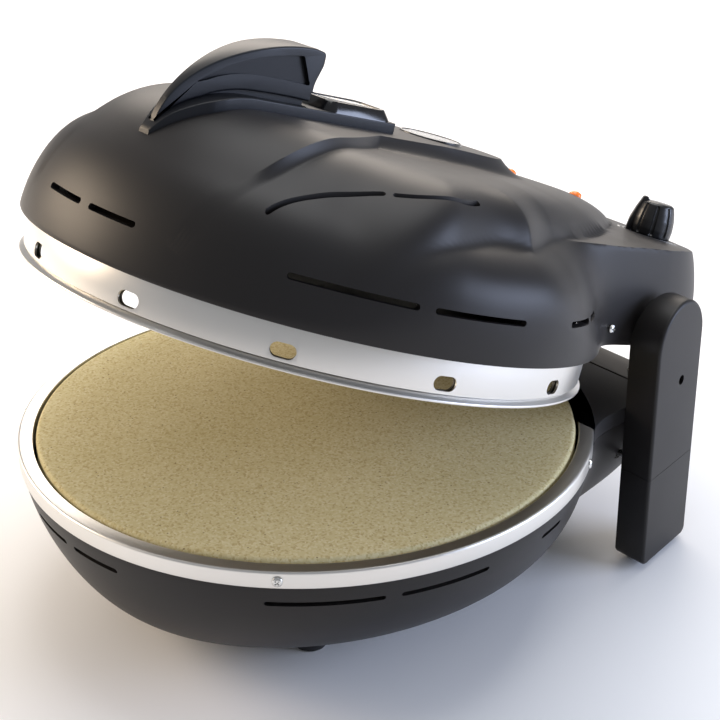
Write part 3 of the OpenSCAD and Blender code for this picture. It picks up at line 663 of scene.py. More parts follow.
def base_outline(grow, around):
    """Plan of the base's rim."""
    a = np.arange(around) * 360.0 / around
    r = plan_ray(BODY_R - 1.4 + grow, BAY_X + grow, BAY_Y - CY + grow, 12, a)
    return a, np.stack([r * sind(a), CY - r * cosd(a)], 1)


def bowl_rings(grow, steps, around):
    """Rings of the bowl from its floor to its rim."""
    a, rim = base_outline(grow, around)
    foot = np.stack([(84 + grow) * sind(a), 33 - (138 + grow) * cosd(a)], 1)
    rings = []
    for t in steps:
        g = math.sqrt(1 - min(1.0, t) ** 1.5)
        ring = lerp(foot, rim, g)
        rings.append(np.insert(ring, 2, RIM_Z - (BOWL_H + grow) * t, axis=1))
    return rings


def build_base(settings):
    around = settings.around
    falls = np.concatenate([[1.0, 0.9995, 0.998], np.linspace(0.995, 0.9, 12),
                            np.linspace(0.88, 0.0, 40)])
    shell = loft(bowl_rings(0.0, falls, around) + bowl_rings(-WALL, falls[::-1], around))
    cuts = []
    for a0, a1 in SLOTS_BASE:
        slot = arc_slot(a0, a1, 140, 176, -22.6, -19.6)
        cuts += [slot, mirrored(slot)]
    for z in (-14, -34):
        cuts += [rod(2.6, 100, 130, 150, z), rod(2.6, -130, -100, 150, z)]
    gland = disc(6.8, 0, 40)
    gland = (np.stack([gland[0][:, 0] - 60, BAY_Y - 20 + gland[0][:, 2], -26 - gland[0][:, 1]], 1),
             gland[1])
    piece("casing_base", shell, table, "base", "shell", ["base_shell"], cuts + [gland])

    ring_in = STONE_R + 1.7
    profile = rounded([(ring_in, 0), (BODY_R, 0), (BODY_R, -9.6), (BODY_R - 1.6, -9.6),
                       (BODY_R - 1.6, -1.8), (ring_in + 1.2, -1.8), (ring_in + 1.2, -12), (ring_in, -12)],
                      [0.8, 1.4, 0.5, 0.5, 0.5, 0.5, 0.4, 0.4])
    piece("ring_steel", revolve(profile, 360), table, "base", "steel", ["base_ring"])

    deck_z0 = RIM_Z + 0.05
    rim = base_outline(0.0, 720)[1]
    seat = BODY_R + 0.3
    outer = rim[(np.hypot(rim[:, 0], rim[:, 1]) > seat + 0.05) & (rim[:, 1] > 60)]
    t0 = math.degrees(math.atan2(outer[0, 0], -outer[0, 1]))
    t = np.linspace(360 - t0, t0, 121)
    inner = np.stack([seat * sind(t), -seat * cosd(t)], 1)
    deck = prism(np.concatenate([outer, inner]), deck_z0, 0.0, 0.5)
    groove = prism([(-BAY_X - 2, 174), (BAY_X + 2, 174), (BAY_X + 2, 175.6), (-BAY_X - 2, 175.6)],
                   -1.2, 2.0, 0.0, 1)
    holes = [disc(1.7, -12, 10, spot) for spot in DECK_SCREWS]
    piece("deck_cover", deck, table, "base", "deck", ["base_deck"], [groove] + holes)

    foot = rounded([(0, -RING_H), (9, -RING_H), (12, -88), (12, -85.9), (0, -85.9)], [0, 1.6, 1, 1, 0])
    feet = joined([revolve(foot, 64, spot) for spot in FEET])
    piece("feet_front", feet, table, "base", "rubber", ["front_feet"])

    pan = rounded([(0, -36), (120, -36), (146, -24), (149.6, -16.4), (149.6, -15.2), (154.4, -15.2),
                   (154.4, -14), (148.2, -14), (144.8, -22.8), (119.6, -34.8), (0, -34.8)],
                  [0, 12, 6, 0.5, 0.5, 0.4, 0.4, 0.8, 5, 11, 0])
    piece("pan_drawn", revolve(pan, 256), table, "base", "liner", ["heat_pan"])


def build_stone(settings):
    stone = rounded([(0, -13.1), (STONE_R, -13.1), (STONE_R, 0.9), (0, 0.9)], [0, 1.6, 2.6, 0], 8)
    piece("stone_baking", revolve(stone, 360), table, "stone", "stone", ["pizza_stone"])


# ---------- arms ----------

def arm_blank(edge):
    """Whole arm: a slab with a half-round top, its outer face closing in towards the rear."""
    low, corner = 3 - RING_H, 5.0
    t = np.linspace(0, math.pi, 73)
    top = np.stack([ARM_Y + ARM_R * np.cos(t), HINGE_Z + ARM_R * np.sin(t)], 1)
    q = np.linspace(0, math.pi / 2, 10)
    left = np.stack([ARM_Y - ARM_R + corner - corner * np.cos(q), low + corner - corner * np.sin(q)], 1)
    right = np.stack([ARM_Y + ARM_R - corner + corner * np.sin(q), low + corner - corner * np.cos(q)], 1)
    rows = np.linspace(HINGE_Z, low + corner, 40)[1:-1]
    front = np.stack([np.full(38, ARM_Y - ARM_R), rows], 1)
    back = np.stack([np.full(38, ARM_Y + ARM_R), rows[::-1]], 1)
    o = wound(np.concatenate([top, front, left, right, back]))
    nrm = normals2(o)
    slope = math.tan(math.radians(ARM_TAPER))
    rings = [(o - nrm * 0.8, 0.0), (o - nrm * 0.2, 0.2), (o, 0.8)]
    rings = [np.stack([np.full(len(p), ARM_X + x), p[:, 0], p[:, 1]], 1) for p, x in rings]
    for k in range(9):
        t = math.pi / 2 * k / 8
        p = o - nrm * edge * (1 - math.cos(t))
        x = ARM_X + ARM_T - (p[:, 0] - (ARM_Y - ARM_R)) * slope - edge * (1 - math.sin(t))
        rings.append(np.stack([x, p[:, 0], p[:, 1]], 1))
    return loft(rings)


def block(low, high):
    """Plain rectangular cutter."""
    (x0, y0, z0), (x1, y1, z1) = low, high
    return loft([[(x0, y0, z), (x1, y0, z), (x1, y1, z), (x0, y1, z)] for z in (z0, z1)])


def build_arms(settings):
    blank = arm_blank(settings.arm_edge)
    keep_up = block((100, 130, -120), (150, 210, SEAM + 0.25))
    keep_low = block((100, 130, SEAM), (150, 210, 90))
    core_up = block((ARM_X - 1, ARM_Y - ARM_R + 5, SEAM - 1), (ARM_X + 8, ARM_Y - ARM_R + 39, 9))
    core_low = block((ARM_X - 1, ARM_Y - ARM_R + 5, 8 - RING_H), (ARM_X + 8, ARM_Y - ARM_R + 39, SEAM + 2))
    access = rod(2.9, ARM_X + 10, ARM_X + 40, 174, 15)
    seat = rod(4.0, ARM_X - 1, ARM_X + 8, HINGE_Y, HINGE_Z)
    for side, flip in (("right", lambda s: s), ("left", mirrored)):
        upper = piece("arm_" + side + "_body", flip(blank), table, "base", "shell",
                      ["arm_" + side], [flip(keep_up)])
        cut(upper, [flip(core_up)], table)
        cut(upper, [flip(access), flip(seat)], table)
        lower = piece("arm_" + side + "_end", flip(blank), table, "base", "shell",
                      ["arm_" + side + "_foot"], [flip(keep_low)])
        cut(lower, [flip(core_low)], table)
        for obj in (upper, lower):
            obj.data.set_sharp_from_angle(angle=math.radians(CREASE))
    pad = prism(rounded([(ARM_X + 2, ARM_Y - 18), (ARM_X + 11, ARM_Y - 18), (ARM_X + 11, ARM_Y + 16),
                         (ARM_X + 2, ARM_Y + 16)], 2), -RING_H, -RING_H + 2.95, 0.4)
    piece("pads_arm", joined([pad, mirrored(pad)]), table, "base", "rubber", ["arm_pads"])


# ---------- lid ----------

def lid_rings(around):
    """Inside and outside of the moulded lid, as a closed stack of rings."""
    a = np.arange(around) * 360.0 / around
    ray, crown, flank = lid_ray(a), crown_ray(a), crown_flank(a)
    inset = 1 - WALL / ray
    low = under_z(CY - ray * cosd(a))

    def ring(r, z):
        return np.stack([r * sind(a), CY - r * cosd(a), z], 1)

    foot = np.minimum(crown + flank, 0.99 * ray)
    mid = np.clip(deck_ray(a), lerp(foot, ray, 0.3), lerp(foot, ray, 0.8))

    def side(s):
        return lerp(foot, mid, 2 * s) if s < 0.5 else lerp(mid, ray, 2 * s - 1)

    crown_steps = np.concatenate([[0.02], np.linspace(0.06, 0.94, 40), [0.96, 0.975, 0.985, 0.993, 1.0]])
    side_steps = np.concatenate([np.linspace(0.02, 0.44, 22), [0.46, 0.475, 0.487, 0.495, 0.5, 0.505],
                                 [0.513, 0.525, 0.54], np.linspace(0.56, 0.97, 28), [0.981, 0.989, 0.994]])
    outer = [ring(s * crown, lid_top(a, s * crown)) for s in crown_steps]
    for t in np.linspace(0.04, 1.0, 20):
        r = np.minimum(crown + t * flank, (0.985 + 0.004 * t) * ray)
        outer.append(ring(r, lid_top(a, r)))
    outer += [ring(side(s), lid_top(a, side(s))) for s in side_steps]
    outer += [ring(ray, low + 0.6), ring(ray - 0.25, low + 0.12), ring(ray - 0.7, low)]
    inner = []
    for r in [side(s) for s in side_steps[::-4]] + [s * crown for s in crown_steps[::-4]]:
        z = np.maximum(low + 2, lid_top(a, r) - WALL - 1.5)
        inner.append(ring(r * inset, z))
    inner.insert(0, ring(ray * inset, low))
    return outer + inner


def slot_outline(start, bend, end, half):
    """Plan of a slot with round ends along a quadratic curve, drawn anticlockwise."""
    t = np.linspace(0, 1, 40)[:, None]
    path = (1 - t) ** 2 * start + 2 * t * (1 - t) * np.array(bend) + t ** 2 * end
    ahead = np.gradient(path, axis=0)
    ahead = half * ahead / np.linalg.norm(ahead, axis=1, keepdims=True)
    aside = np.stack([ahead[:, 1], -ahead[:, 0]], 1)
    turn = np.linspace(0, 180, 9)[1:-1, None]
    far = path[-1] + cosd(turn) * aside[-1] + sind(turn) * ahead[-1]
    near = path[0] - cosd(turn) * aside[0] - sind(turn) * ahead[0]
    return np.concatenate([path + aside, far, (path - aside)[::-1], near])


def build_lid(settings):
    cuts = []
    for a0, a1 in SLOTS_LOW:
        slot = arc_slot(a0, a1, 140, 180, 47, 50.2)
        cuts += [slot, mirrored(slot)]
    for bend in UPPER_SLOTS:
        slot = prism(slot_outline(*bend, SLOT_HALF), 60, 120, 0.0, 1)
        cuts += [slot, mirrored(slot)]
    cuts += [rod(8, 96, 130, HINGE_Y, HINGE_Z), rod(8, -130, -96, HINGE_Y, HINGE_Z),
             rod(1.6, 100, 150, LID_SCREW_Y, LID_SCREW_Z, 24),
             rod(1.6, -150, -100, LID_SCREW_Y, LID_SCREW_Z, 24),
             disc(DIAL_R + 3.15, 60, 100, (DIAL_X, DIAL_Y)),
             disc(GAUGE_R + 0.2, 98, 120, (0, GAUGE_Y))]
    cuts += [disc(4.4, 72, 112, (0, y)) for y in LAMPS]
    piece("casing_lid", loft(lid_rings(settings.around)), lid, "lid", "shell", ["lid_shell"],
          cuts, 42.0)


def build_lid_steel(settings):
    band = rounded([(156.2, FLANGE_Z + 4), (157.4, FLANGE_Z + 4), (157.4, SKIRT_Z + 2),
                    (156.2, SKIRT_Z + 2)], 0.3, 3)
    slots = []
    for a in range(15, 360, 30):
        def place(u, v, w, turn=math.radians(a)):
            x, y = u, -w
            return np.stack([x * math.cos(turn) - y * math.sin(turn),
                             x * math.sin(turn) + y * math.cos(turn), 13 + v], 1)
        slots.append(prism(stadium(13, 7.6), 150, 162, 0.0, 1, place))
    piece("band_steel", revolve(band, 360), lid, "lid", "steel", ["lid_band"], slots)

    flange = rounded([(154.2, FLANGE_Z), (BAND_R, FLANGE_Z), (BAND_R, FLANGE_Z + 1.2),
                      (157.6, FLANGE_Z + 2.4), (156, FLANGE_Z + 3.8), (154.2, FLANGE_Z + 3.8)],
                     [0.6, 0.55, 0.5, 0.8, 0.4, 0.4], 4)
    piece("flange_rolled", revolve(flange, 360), lid, "lid", "steel", ["lid_flange"])

    z = FLANGE_Z
    inside = rounded([(153.9, z + 4.2), (153.9, 22), (146, 38), (128, 45), (0, 50), (0, 51.2),
                      (128.3, 46.2), (147, 39), (155.1, 22.4), (155.1, z + 5.2), (156, z + 5.2),
                      (156, z + 4.2)], [0.3, 8, 8, 12, 0, 0, 12, 8, 8, 0.3, 0.3, 0.3])
    piece("reflector_drawn", revolve(inside, 256), lid, "lid", "liner", ["lid_reflector"], slots)


def tube(r, z, thick, gap=14.0, steps=200):
    """Open loop of heater sheath."""
    a = np.radians(np.linspace(90 + gap / 2, 450 - gap / 2, steps))
    t = np.arange(20) * 2 * math.pi / 20
    rings = []
    for turn in a:
        reach = r + thick * np.cos(t)
        rings.append(np.stack([reach * math.cos(turn), reach * math.sin(turn), z + thick * np.sin(t)], 1))
    return loft(rings)


def heater(r, z, tail, gap=14.0):
    """Loop with a ferrule and a stud on each end."""
    parts = [tube(r, z, 3.2, gap)]
    for s in (-1, 1):
        a = math.radians(90 + s * gap / 2)
        x, y = r * math.cos(a), r * math.sin(a)
        low = z - 4.5 + min(0, tail)
        body = rounded([(0, low), (4.6, low), (4.6, low + abs(tail) + 9), (0, low + abs(tail) + 9)],
                       [0, 1.2, 1.2, 0])
        parts.append(revolve(body, 40, (x, y)))
    return joined(parts)


def build_heaters(settings):
    lower = joined([heater(*loop) for loop in LOWER_LOOPS])
    piece("heater_lower", lower, table, "base", "sheath", ["lower_element"])
    upper = joined([heater(*loop) for loop in UPPER_LOOPS])
    piece("heater_upper", upper, lid, "lid", "sheath", ["upper_element"])


# ---------- handle, window and gauge ----------

def plate_low(y):
    """Height at which the handle's plate lies on the crown."""
    return crown_top(0.0, y) + 0.3


def plate_top(y):
    """Height of the plate's top, which thins out to the front."""
    return plate_low(y) + PLATE_T * ease((y + 143) / 18)


def rail_z(y):
    """Height of the fin's lower edge, which arches a little off the plate."""
    return plate_top(y) + 0.05 + 3 * np.sin(np.pi * clamp01((y + 108) / 90)) ** 0.7


def fin_half(y):
    """Half width of the fin: it tapers to the front."""
    return 2 + (FIN_X - 2) * ease((y + 136) / 64)


def back(b, inset=0.0):
    """Side view of the fin's back, at angle b from its tip to its highest point."""
    return np.stack([-45 - (87 - inset) * cosd(b), 90.8 + (55 - inset) * sind(b) ** 1.1], 1)


def build_handle(settings):
    rings = []
    for y in np.concatenate([np.linspace(-135, -74, 41), np.linspace(-72, 14, 44), np.linspace(15, 18, 9)]):
        half = float(np.interp(y, [-136, -116.5, -108.5, -102, 60], [3.5, 12.5, 16, PLATE_X, PLATE_X]))
        half -= 3 - math.sqrt(9 - max(0.0, y - 15) ** 2)
        low, high = float(plate_low(y)) - 0.9, float(plate_top(y))
        section = rounded([(-half, low), (half, low), (half, high), (-half, high)], [0.2, 0.2, 0.8, 0.8], 5)
        rings.append(np.stack([section[:, 0], np.full(len(section), y), section[:, 1]], 1))
    piece("plate_long", loft(rings), lid, "lid", "handle", ["handle_plate"])

    def tapered(u, v, w):
        return np.stack([w / FIN_X * fin_half(u), u, v], 1)
    end = rounded([(-46, 145.8), (-39.2, 144.6), (-38.9, 138), (-42.2, 128), (-42.2, float(rail_z(-42.2)))],
                  [0, 2.4, 9, 14, 0.8], 6)[1:]
    y = np.linspace(-43, -131.8, 60)
    outline = np.concatenate([back(np.linspace(5, 89, 60)), end, np.stack([y, rail_z(y)], 1)])
    fin = prism(outline, -FIN_X, FIN_X, 1.2, 5, tapered)
    y = np.linspace(-45.5, -109, 40)
    hollow = np.concatenate([np.stack([y, rail_z(y) + RAIL], 1), back(np.linspace(33, 85, 40), 4.6)])
    cuts = []
    for s in (-1, 1):
        def sunk(u, v, w, s=s):
            return np.stack([s * (fin_half(u) - 2.6 + w), u, v], 1)
        cuts.append(prism(rounded(hollow[::2], 1.5, 2), 0, 6, 0.0, 1, sunk))
    piece("fin_handle", fin, lid, "lid", "handle", ["handle_fin"], cuts)

    def inset(u, v, w):
        return np.stack([w * (fin_half(u) - 2.6), u, v], 1)
    y = np.linspace(-46, -110, 30)
    foot = np.concatenate([np.stack([y, plate_top(y)], 1), np.stack([y, rail_z(y) + 1], 1)[::-1]])
    piece("fin_foot", prism(foot, -1, 1, 0.0, 1, inset), lid, "lid", "handle")


def soft_rect(width, length, r, z):
    """Level ring of a rectangle with round corners, lying along Y."""
    x, y = width / 2, length / 2
    ring = rounded([(-x, -y), (x, -y), (x, y), (-x, y)], r, 9)
    return np.insert(ring, 2, z, axis=1)


def build_window(settings):
    seat = np.array((0, WINDOW_Y, float(plate_top(WINDOW_Y))))
    sizes = [(33.4, 50.6, 7.4, -0.3), (33.0, 50.2, 7.2, 0.3), (27.4, 44.6, 6.2, 4.9), (26.6, 43.8, 6.0, 5.5),
             (25.6, 42.8, 5.7, 5.7), (22.6, 39.8, 4.6, 5.6), (22.0, 39.2, 4.4, 5.3), (21.6, 38.8, 4.2, 3.4)]
    piece("bezel_window", loft([soft_rect(*size) + seat for size in sizes]), lid, "lid", "gloss",
          ["window_bezel"])
    sizes = [(21.2, 38.4, 4.1, 3.5), (21.2, 38.4, 4.1, 4.7), (20.4, 37.6, 3.8, 5.0), (12, 26, 3, 5.3)]
    piece("pane_window", loft([soft_rect(*size) + seat for size in sizes]), lid, "lid", "glass",
          ["window_glass"])

    seat, r = float(crown_top(0, GAUGE_Y)) - 6, GAUGE_R
    rim = rounded([(r - 1.4, seat), (r, seat), (r, seat + 7.4), (r - 1.4, seat + 7.4)],
                  [0.2, 0.2, 0.5, 0.4], 4)
    piece("rim_gauge", revolve(rim, 128, (0, GAUGE_Y)), lid, "lid", "gloss", ["gauge_rim"])
    face = rounded([(0, seat), (r - 1.6, seat), (r - 1.6, seat + 7), (0, seat + 7)], [0, 0.2, 0.3, 0])
    piece("face_gauge", revolve(face, 128, (0, GAUGE_Y)), lid, "lid", "gauge", ["gauge_disc"])


def build_lamps(settings):
    lenses = []
    for y in LAMPS:
        z = lid_height(0, y)
        t = np.linspace(0, math.pi / 2, 14)
        dome = [(4.1 * math.cos(k), z + 0.4 + 2.6 * math.sin(k)) for k in t[:-1]]
        lenses.append(revolve([(0, z - 8), (4.1, z - 8)] + dome + [(0, z + 3.0)], 48, (0, y)))
    piece("lenses_lamp", joined(lenses), lid, "lid", "amber", ["indicator_lamps"])


# ---------- dial ----------

def print_arc(r0, r1, a0, a1, taper=0.0):
    """Printed arc round the dial, lying on the lid; its width grows by the taper share."""
    t = np.linspace(0, 1, 60)
    a = np.radians(lerp(a0, a1, t))
    wide = (r1 - r0) * (1 - taper * (1 - t))
    inner, outer = np.full(60, r0), r0 + wide
    plan = np.concatenate([np.stack([r * np.cos(k), r * np.sin(k)], 1)
                           for r, k in ((outer, a), (inner[::-1], a[::-1]))]) + (DIAL_X, DIAL_Y)
    skin = np.array([lid_height(x, y) for x, y in plan])
    return loft([np.insert(plan, 2, skin + w, axis=1) for w in (-0.2, 0.07)])


def build_dial(settings):
    top = float(deck_level(DIAL_Y)) + 0.4
    base = rounded([(4.2, top - 8.8), (8, top - 8.8), (8, top - 8), (DIAL_R + 3, top - 8),
                    (DIAL_R + 3, top), (4.2, top)], [0, 0.4, 0.4, 0.4, 0.4, 0.3])
    piece("seat_dial", revolve(base, 96, (DIAL_X, DIAL_Y)), lid, "lid", "shell", ["dial_base"])

    foot = top + 0.5
    around = 360
    a = np.arange(around) * 2 * math.pi / around
    heights = np.array([0, 0.6, 5.25, 10.5, 15.75, 19.6, 21.0])
    reach = np.array([12.2, 12.5, 12.9, 12.5, 11.4, 10.2, 9.6])
    rings = []
    for h in np.concatenate([[0, 0.3], np.linspace(0.6, DIAL_H - 1.2, 26), [20.2, 20.6, 20.85, 21.0]]):
        r = float(np.interp(h, heights, reach)) - 1.2 * float(clamp01((h - DIAL_H + 1.2) / 1.2)) ** 2
        depth = 1.0 * float(ease((h - 1.2) / 1.2)) * float(1 - ease((h - DIAL_H + 2.4) / 1.6))
        wave = np.cos((a - math.radians(DIAL_ZERO)) * settings.grips)
        ring = r - depth * np.sqrt(np.clip(2.6 * wave - 1.6, 0, 1))
        rings.append(np.stack([DIAL_X + ring * np.cos(a), DIAL_Y + ring * np.sin(a),
                               np.full(around, foot + h)], 1))
    turn = math.radians(DIAL_ZERO)

    def wing(u, v, w):
        return np.stack([DIAL_X + u * math.cos(turn) - w * math.sin(turn),
                         DIAL_Y + u * math.sin(turn) + w * math.cos(turn), foot + v], 1)
    outline = rounded([(5, 0.1), (15.6, 0.1), (15, 8.4), (12.8, 15.75), (10, 23.2), (7.4, 23.2), (5, 20)],
                      [0, 0.8, 20, 20, 1.4, 1.6, 0], 8)
    pointer = prism(outline, -1.9, 1.9, 0.7, 4, wing)
    piece("knob_dial", loft(rings), lid, "dial", "dial", ["dial_knob"])
    piece("pointer_dial", pointer, lid, "dial", "dial")

    marks = [print_arc(16.6, 17.2, 150, 262), print_arc(19.2, 20.6, 165, 235, 0.9),
             print_arc(16.6, 17.2, 300, 372), print_arc(19.2, 20.2, 318, 366, 0.9)]
    piece("marks_dial", joined(marks), lid, "lid", "screw")


# ---------- fixings ----------

def screw_shape(head, shank, length):
    """Pan-head screw standing on its tip, the top of its head at z = 0."""
    r = head / 2
    t = np.linspace(0, 1, 7)
    dome = [(r * math.cos(k * 1.25), -1.2 + 1.2 * math.sin(k * 1.25)) for k in t]
    return revolve([(0, -length), (shank / 2, -length), (shank / 2, -1.8), (r, -1.8)]
                   + dome + [(0, dome[-1][1])], 40)


def screw_cross(head):
    """Cutter for a cross recess."""
    arm = prism(stadium(head * 0.6, 0.8, 4), -0.9, 1.0, 0.0, 1)
    turned = (arm[0][:, [1, 0, 2]] * (-1, 1, 1), arm[1])
    return [arm, turned]


def turned_to(shape, point, axis):
    """Turns a shape's +Z to an axis and moves it to a point."""
    spin = np.array(Vector((0, 0, 1)).rotation_difference(Vector(axis)).to_matrix())
    return shape[0] @ spin.T + np.asarray(point, float), shape[1]


def screws(name, places, head, shank, length, place, body, node):
    """A set of equal screws as one piece."""
    shape = screw_shape(head, shank, length)
    arm, other = screw_cross(head)
    obj = piece(name, joined([turned_to(shape, p, a) for p, a in places]), place, body, "screw",
                [node], [turned_to(arm, p, a) for p, a in places])
    cut(obj, [turned_to(other, p, a) for p, a in places], place)


def build_fixings(settings):
    spots = []
    for a in RING_SCREWS:
        out = (sind(a), -cosd(a), 0.0)
        spots.append(((out[0] * (BODY_R + 1.85), out[1] * (BODY_R + 1.85), -5.2), out))
    screws("screws_ring", spots, 5.6, 2.6, 6, table, "base", "base_ring_screws")
    spots = [((*spot, 1.85), (0, 0, 1)) for spot in DECK_SCREWS]
    screws("screws_deck", spots, 6, 3, 8, table, "base", "deck_screws")
    spots = [((s * LID_SCREW_X, LID_SCREW_Y, LID_SCREW_Z), (s, 0, 0)) for s in (-1, 1)]
    screws("screws_lid", spots, 5, 2.6, 10, lid, "lid", "lid_screws")


# ---------- stage ----------

def lamp(name, point, aim, size, power, code):
    """Softbox at a point, turned to what it lights; places and sizes are in metres."""
    data = bpy.data.lights.new(name, "AREA")
    data.shape = "RECTANGLE"
    data.size, data.size_y = size
    data.energy = power
    data.color = linear(code)[:3]
    obj = bpy.data.objects.new(name, data)
    obj.location = point
    obj.rotation_euler = (Vector(aim) - Vector(point)).to_track_quat("-Z", "Y").to_euler()
    bpy.context.scene.collection.objects.link(obj)
    return obj


def build_stage(settings):
    half = 6.0
    mesh = bpy.data.meshes.new("floor")
    mesh.from_pydata([(-half, -half, 0), (half, -half, 0), (half, half, 0), (-half, half, 0)], [],
                     [(0, 1, 2, 3)])
    floor = bpy.data.objects.new("floor", mesh)
    bpy.context.scene.collection.objects.link(floor)
    mat, _, shader = start("Studio floor, matt white lacquer")
    fill(shader, {"Base Color": linear("#fafafa"), "Roughness": 0.7, "Specular IOR Level": 0.15})
    mesh.materials.append(mat)

    world = bpy.data.worlds.new("studio")
    world.use_nodes = True
    world.node_tree.nodes["Background"].inputs["Color"].default_value = linear("#f1f4fa")
    world.node_tree.nodes["Background"].inputs["Strength"].default_value = settings.sky
    bpy.context.scene.world = world
    aim = (0.0, 0.0, 0.12)
    lamp("softbox_left", (-1.6, -1.1, 0.8), aim, (1.1, 0.8), 34, "#ffe8cc")
    lamp("softbox_right", (1.45, 1.3, 0.55), aim, (1.3, 0.8), 34, "#d3e0ff")
    lamp("softbox_top", (-0.3, 0.5, 1.9), aim, (1.4, 1.4), 20, "#ffffff")
    lamp("softbox_rear", (-1.5, 1.3, 1.0), aim, (1.7, 0.9), 22, "#fff3e6")

    az, el, roll = (math.radians(angle) for angle in (CAMERA_AZ, CAMERA_EL, CAMERA_ROLL))
    back = np.array((math.sin(az) * math.cos(el), -math.cos(az) * math.cos(el), math.sin(el)))
    side = np.array((math.cos(az), math.sin(az), 0.0))
    up = np.cross(back, side)
    right = math.cos(roll) * side + math.sin(roll) * up
    top = -math.sin(roll) * side + math.cos(roll) * up
    place = table(back * CAMERA_BACK + side * CAMERA_RIGHT + up * CAMERA_UP)[0]
    data = bpy.data.cameras.new("camera")
    data.lens = SENSOR * CAMERA_FOCAL
    data.sensor_width = SENSOR
    data.clip_start, data.clip_end = 0.02, 50.0
    cam = bpy.data.objects.new("camera", data)
    turned = np.stack([right, top, back], 1)
    cam.matrix_world = Matrix([(*row, p) for row, p in zip(turned, place)] + [(0, 0, 0, 1)])
    bpy.context.scene.collection.objects.link(cam)
    bpy.context.scene.camera = cam
    view = bpy.context.scene.view_settings
    view.view_transform = "Standard"
    view.look = "None"
    view.exposure = 0.0


def dress_frame(settings):
    """Gives every CAD node the finish of its slot in the record."""
    kind_of = {slot_of(kind): kind for kind in FINISH}
    for part in frame["record"]["subparts"]:
        mesh = frame["nodes"][part["node"]].data
        mesh.materials.clear()
        mesh.materials.append(material(kind_of[part["material_slot"]]))


# ---------- add-on ----------

class MakerSettings(bpy.types.PropertyGroup):
    around: IntProperty(name="Casing points", description="Points round each moulded casing",
                        default=540, min=80, max=1080)
    arm_edge: FloatProperty(name="Arm edge", description="Radius of the arms' outer edges, in mm",
                            default=2.2, min=0.5, max=5.0)
    grips: IntProperty(name="Dial grooves", description="Grooves around the dial", default=9,
                       min=7, max=15)
    shell: FloatVectorProperty(name="Casings", description="Colour of the moulded casings",
                               subtype="COLOR", size=4, min=0.0, max=1.0,
                               default=linear(FINISH["shell"][2]))
    steel: FloatVectorProperty(name="Steel", description="Colour of the ring, the band and the flange",
                               subtype="COLOR", size=4, min=0.0, max=1.0,
                               default=linear(FINISH["steel"][2]))
    handle: FloatVectorProperty(name="Handle", description="Colour of the plate and the fin",
                                subtype="COLOR", size=4, min=0.0, max=1.0,
                                default=linear(FINISH["handle"][2]))
    dial: FloatVectorProperty(name="Dial", description="Colour of the dial",
                              subtype="COLOR", size=4, min=0.0, max=1.0,
                              default=linear(FINISH["dial"][2]))
    sky: FloatProperty(name="Sky", description="Strength of the studio's even light",
                       default=0.4, min=0.0, max=2.0)


class MAKER_OT_dress(bpy.types.Operator):
    """Give every CAD node its finish"""
    bl_idname = "pizza_maker.dress"
    bl_label = "Dress frame"

    def execute(self, context):
        dress_frame(context.scene.pizza_maker)
        return {"FINISHED"}


class MAKER_OT_base(bpy.types.Operator):
    """Build the bowl, ring, deck, feet and pan"""
    bl_idname = "pizza_maker.base"
    bl_label = "Base"

    def execute(self, context):
        build_base(context.scene.pizza_maker)
        return {"FINISHED"}


class MAKER_OT_stone(bpy.types.Operator):
    """Build the baking stone"""
    bl_idname = "pizza_maker.stone"
    bl_label = "Stone"

    def execute(self, context):
        build_stone(context.scene.pizza_maker)
        return {"FINISHED"}


class MAKER_OT_arms(bpy.types.Operator):
    """Build the two side arms"""
    bl_idname = "pizza_maker.arms"
    bl_label = "Arms"

    def execute(self, context):
        build_arms(context.scene.pizza_maker)
        return {"FINISHED"}


class MAKER_OT_lid(bpy.types.Operator):
    """Build the moulded lid"""
    bl_idname = "pizza_maker.lid"
    bl_label = "Lid"

    def execute(self, context):
        build_lid(context.scene.pizza_maker)
        return {"FINISHED"}


class MAKER_OT_lid_steel(bpy.types.Operator):
    """Build the band, flange and reflector"""
    bl_idname = "pizza_maker.lid_steel"
    bl_label = "Lid steel"

    def execute(self, context):
        build_lid_steel(context.scene.pizza_maker)
        return {"FINISHED"}


class MAKER_OT_heaters(bpy.types.Operator):
    """Build both heating elements"""
    bl_idname = "pizza_maker.heaters"
    bl_label = "Heaters"

    def execute(self, context):
        build_heaters(context.scene.pizza_maker)
        return {"FINISHED"}


class MAKER_OT_handle(bpy.types.Operator):
    """Build the plate and the fin"""
    bl_idname = "pizza_maker.handle"
    bl_label = "Handle"

    def execute(self, context):
        build_handle(context.scene.pizza_maker)
        return {"FINISHED"}


class MAKER_OT_window(bpy.types.Operator):
    """Build the sight window and the gauge"""
    bl_idname = "pizza_maker.window"
    bl_label = "Window"

    def execute(self, context):
        build_window(context.scene.pizza_maker)
        return {"FINISHED"}


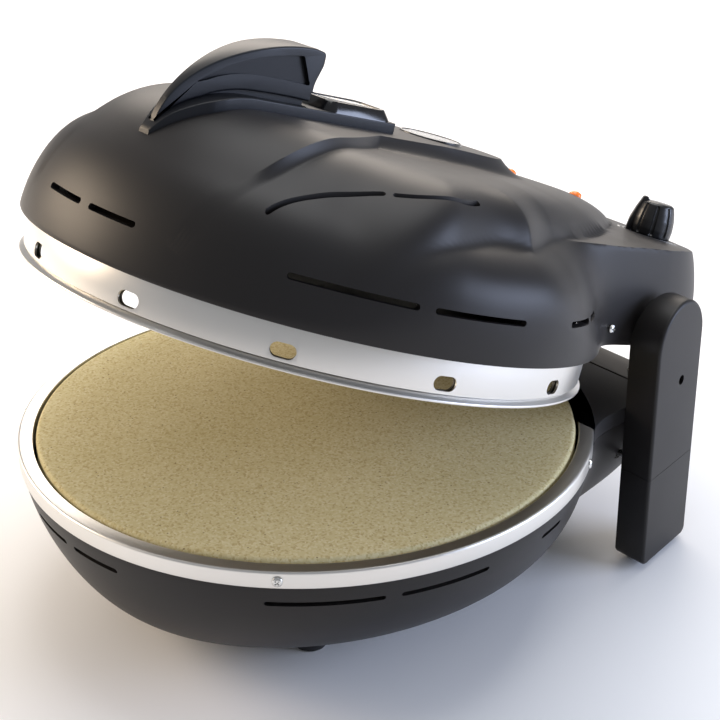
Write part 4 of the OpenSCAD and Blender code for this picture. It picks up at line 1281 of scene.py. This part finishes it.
class MAKER_OT_lamps(bpy.types.Operator):
    """Build the two lamp lenses"""
    bl_idname = "pizza_maker.lamps"
    bl_label = "Lamps"

    def execute(self, context):
        build_lamps(context.scene.pizza_maker)
        return {"FINISHED"}


class MAKER_OT_dial(bpy.types.Operator):
    """Build the dial, its seat and its marks"""
    bl_idname = "pizza_maker.dial"
    bl_label = "Dial"

    def execute(self, context):
        build_dial(context.scene.pizza_maker)
        return {"FINISHED"}


class MAKER_OT_fixings(bpy.types.Operator):
    """Build the visible screws"""
    bl_idname = "pizza_maker.fixings"
    bl_label = "Fixings"

    def execute(self, context):
        build_fixings(context.scene.pizza_maker)
        return {"FINISHED"}


class MAKER_OT_stage(bpy.types.Operator):
    """Set up the floor, lights and camera"""
    bl_idname = "pizza_maker.stage"
    bl_label = "Stage"

    def execute(self, context):
        build_stage(context.scene.pizza_maker)
        return {"FINISHED"}


STEPS = [
    MAKER_OT_dress, MAKER_OT_base, MAKER_OT_stone, MAKER_OT_arms, MAKER_OT_lid, MAKER_OT_lid_steel,
    MAKER_OT_heaters, MAKER_OT_handle, MAKER_OT_window, MAKER_OT_lamps, MAKER_OT_dial,
    MAKER_OT_fixings, MAKER_OT_stage,
]


class MAKER_PT_panel(bpy.types.Panel):
    bl_label = "Pizza maker"
    bl_space_type = "VIEW_3D"
    bl_region_type = "UI"
    bl_category = "Pizza maker"

    def draw(self, context):
        settings = context.scene.pizza_maker
        for name in ("around", "arm_edge", "grips", *CHOSEN, "sky"):
            self.layout.prop(settings, name)
        for step in STEPS:
            self.layout.operator(step.bl_idname)


CLASSES = [MakerSettings, MAKER_PT_panel] + STEPS


def register():
    for cls in CLASSES:
        bpy.utils.register_class(cls)
    bpy.types.Scene.pizza_maker = PointerProperty(type=MakerSettings)


def unregister():
    del bpy.types.Scene.pizza_maker
    for cls in reversed(CLASSES):
        bpy.utils.unregister_class(cls)


def main():
    register()
    for step in STEPS:
        getattr(bpy.ops.pizza_maker, step.bl_idname.split(".")[1])()


if __name__ == "__main__":
    main()
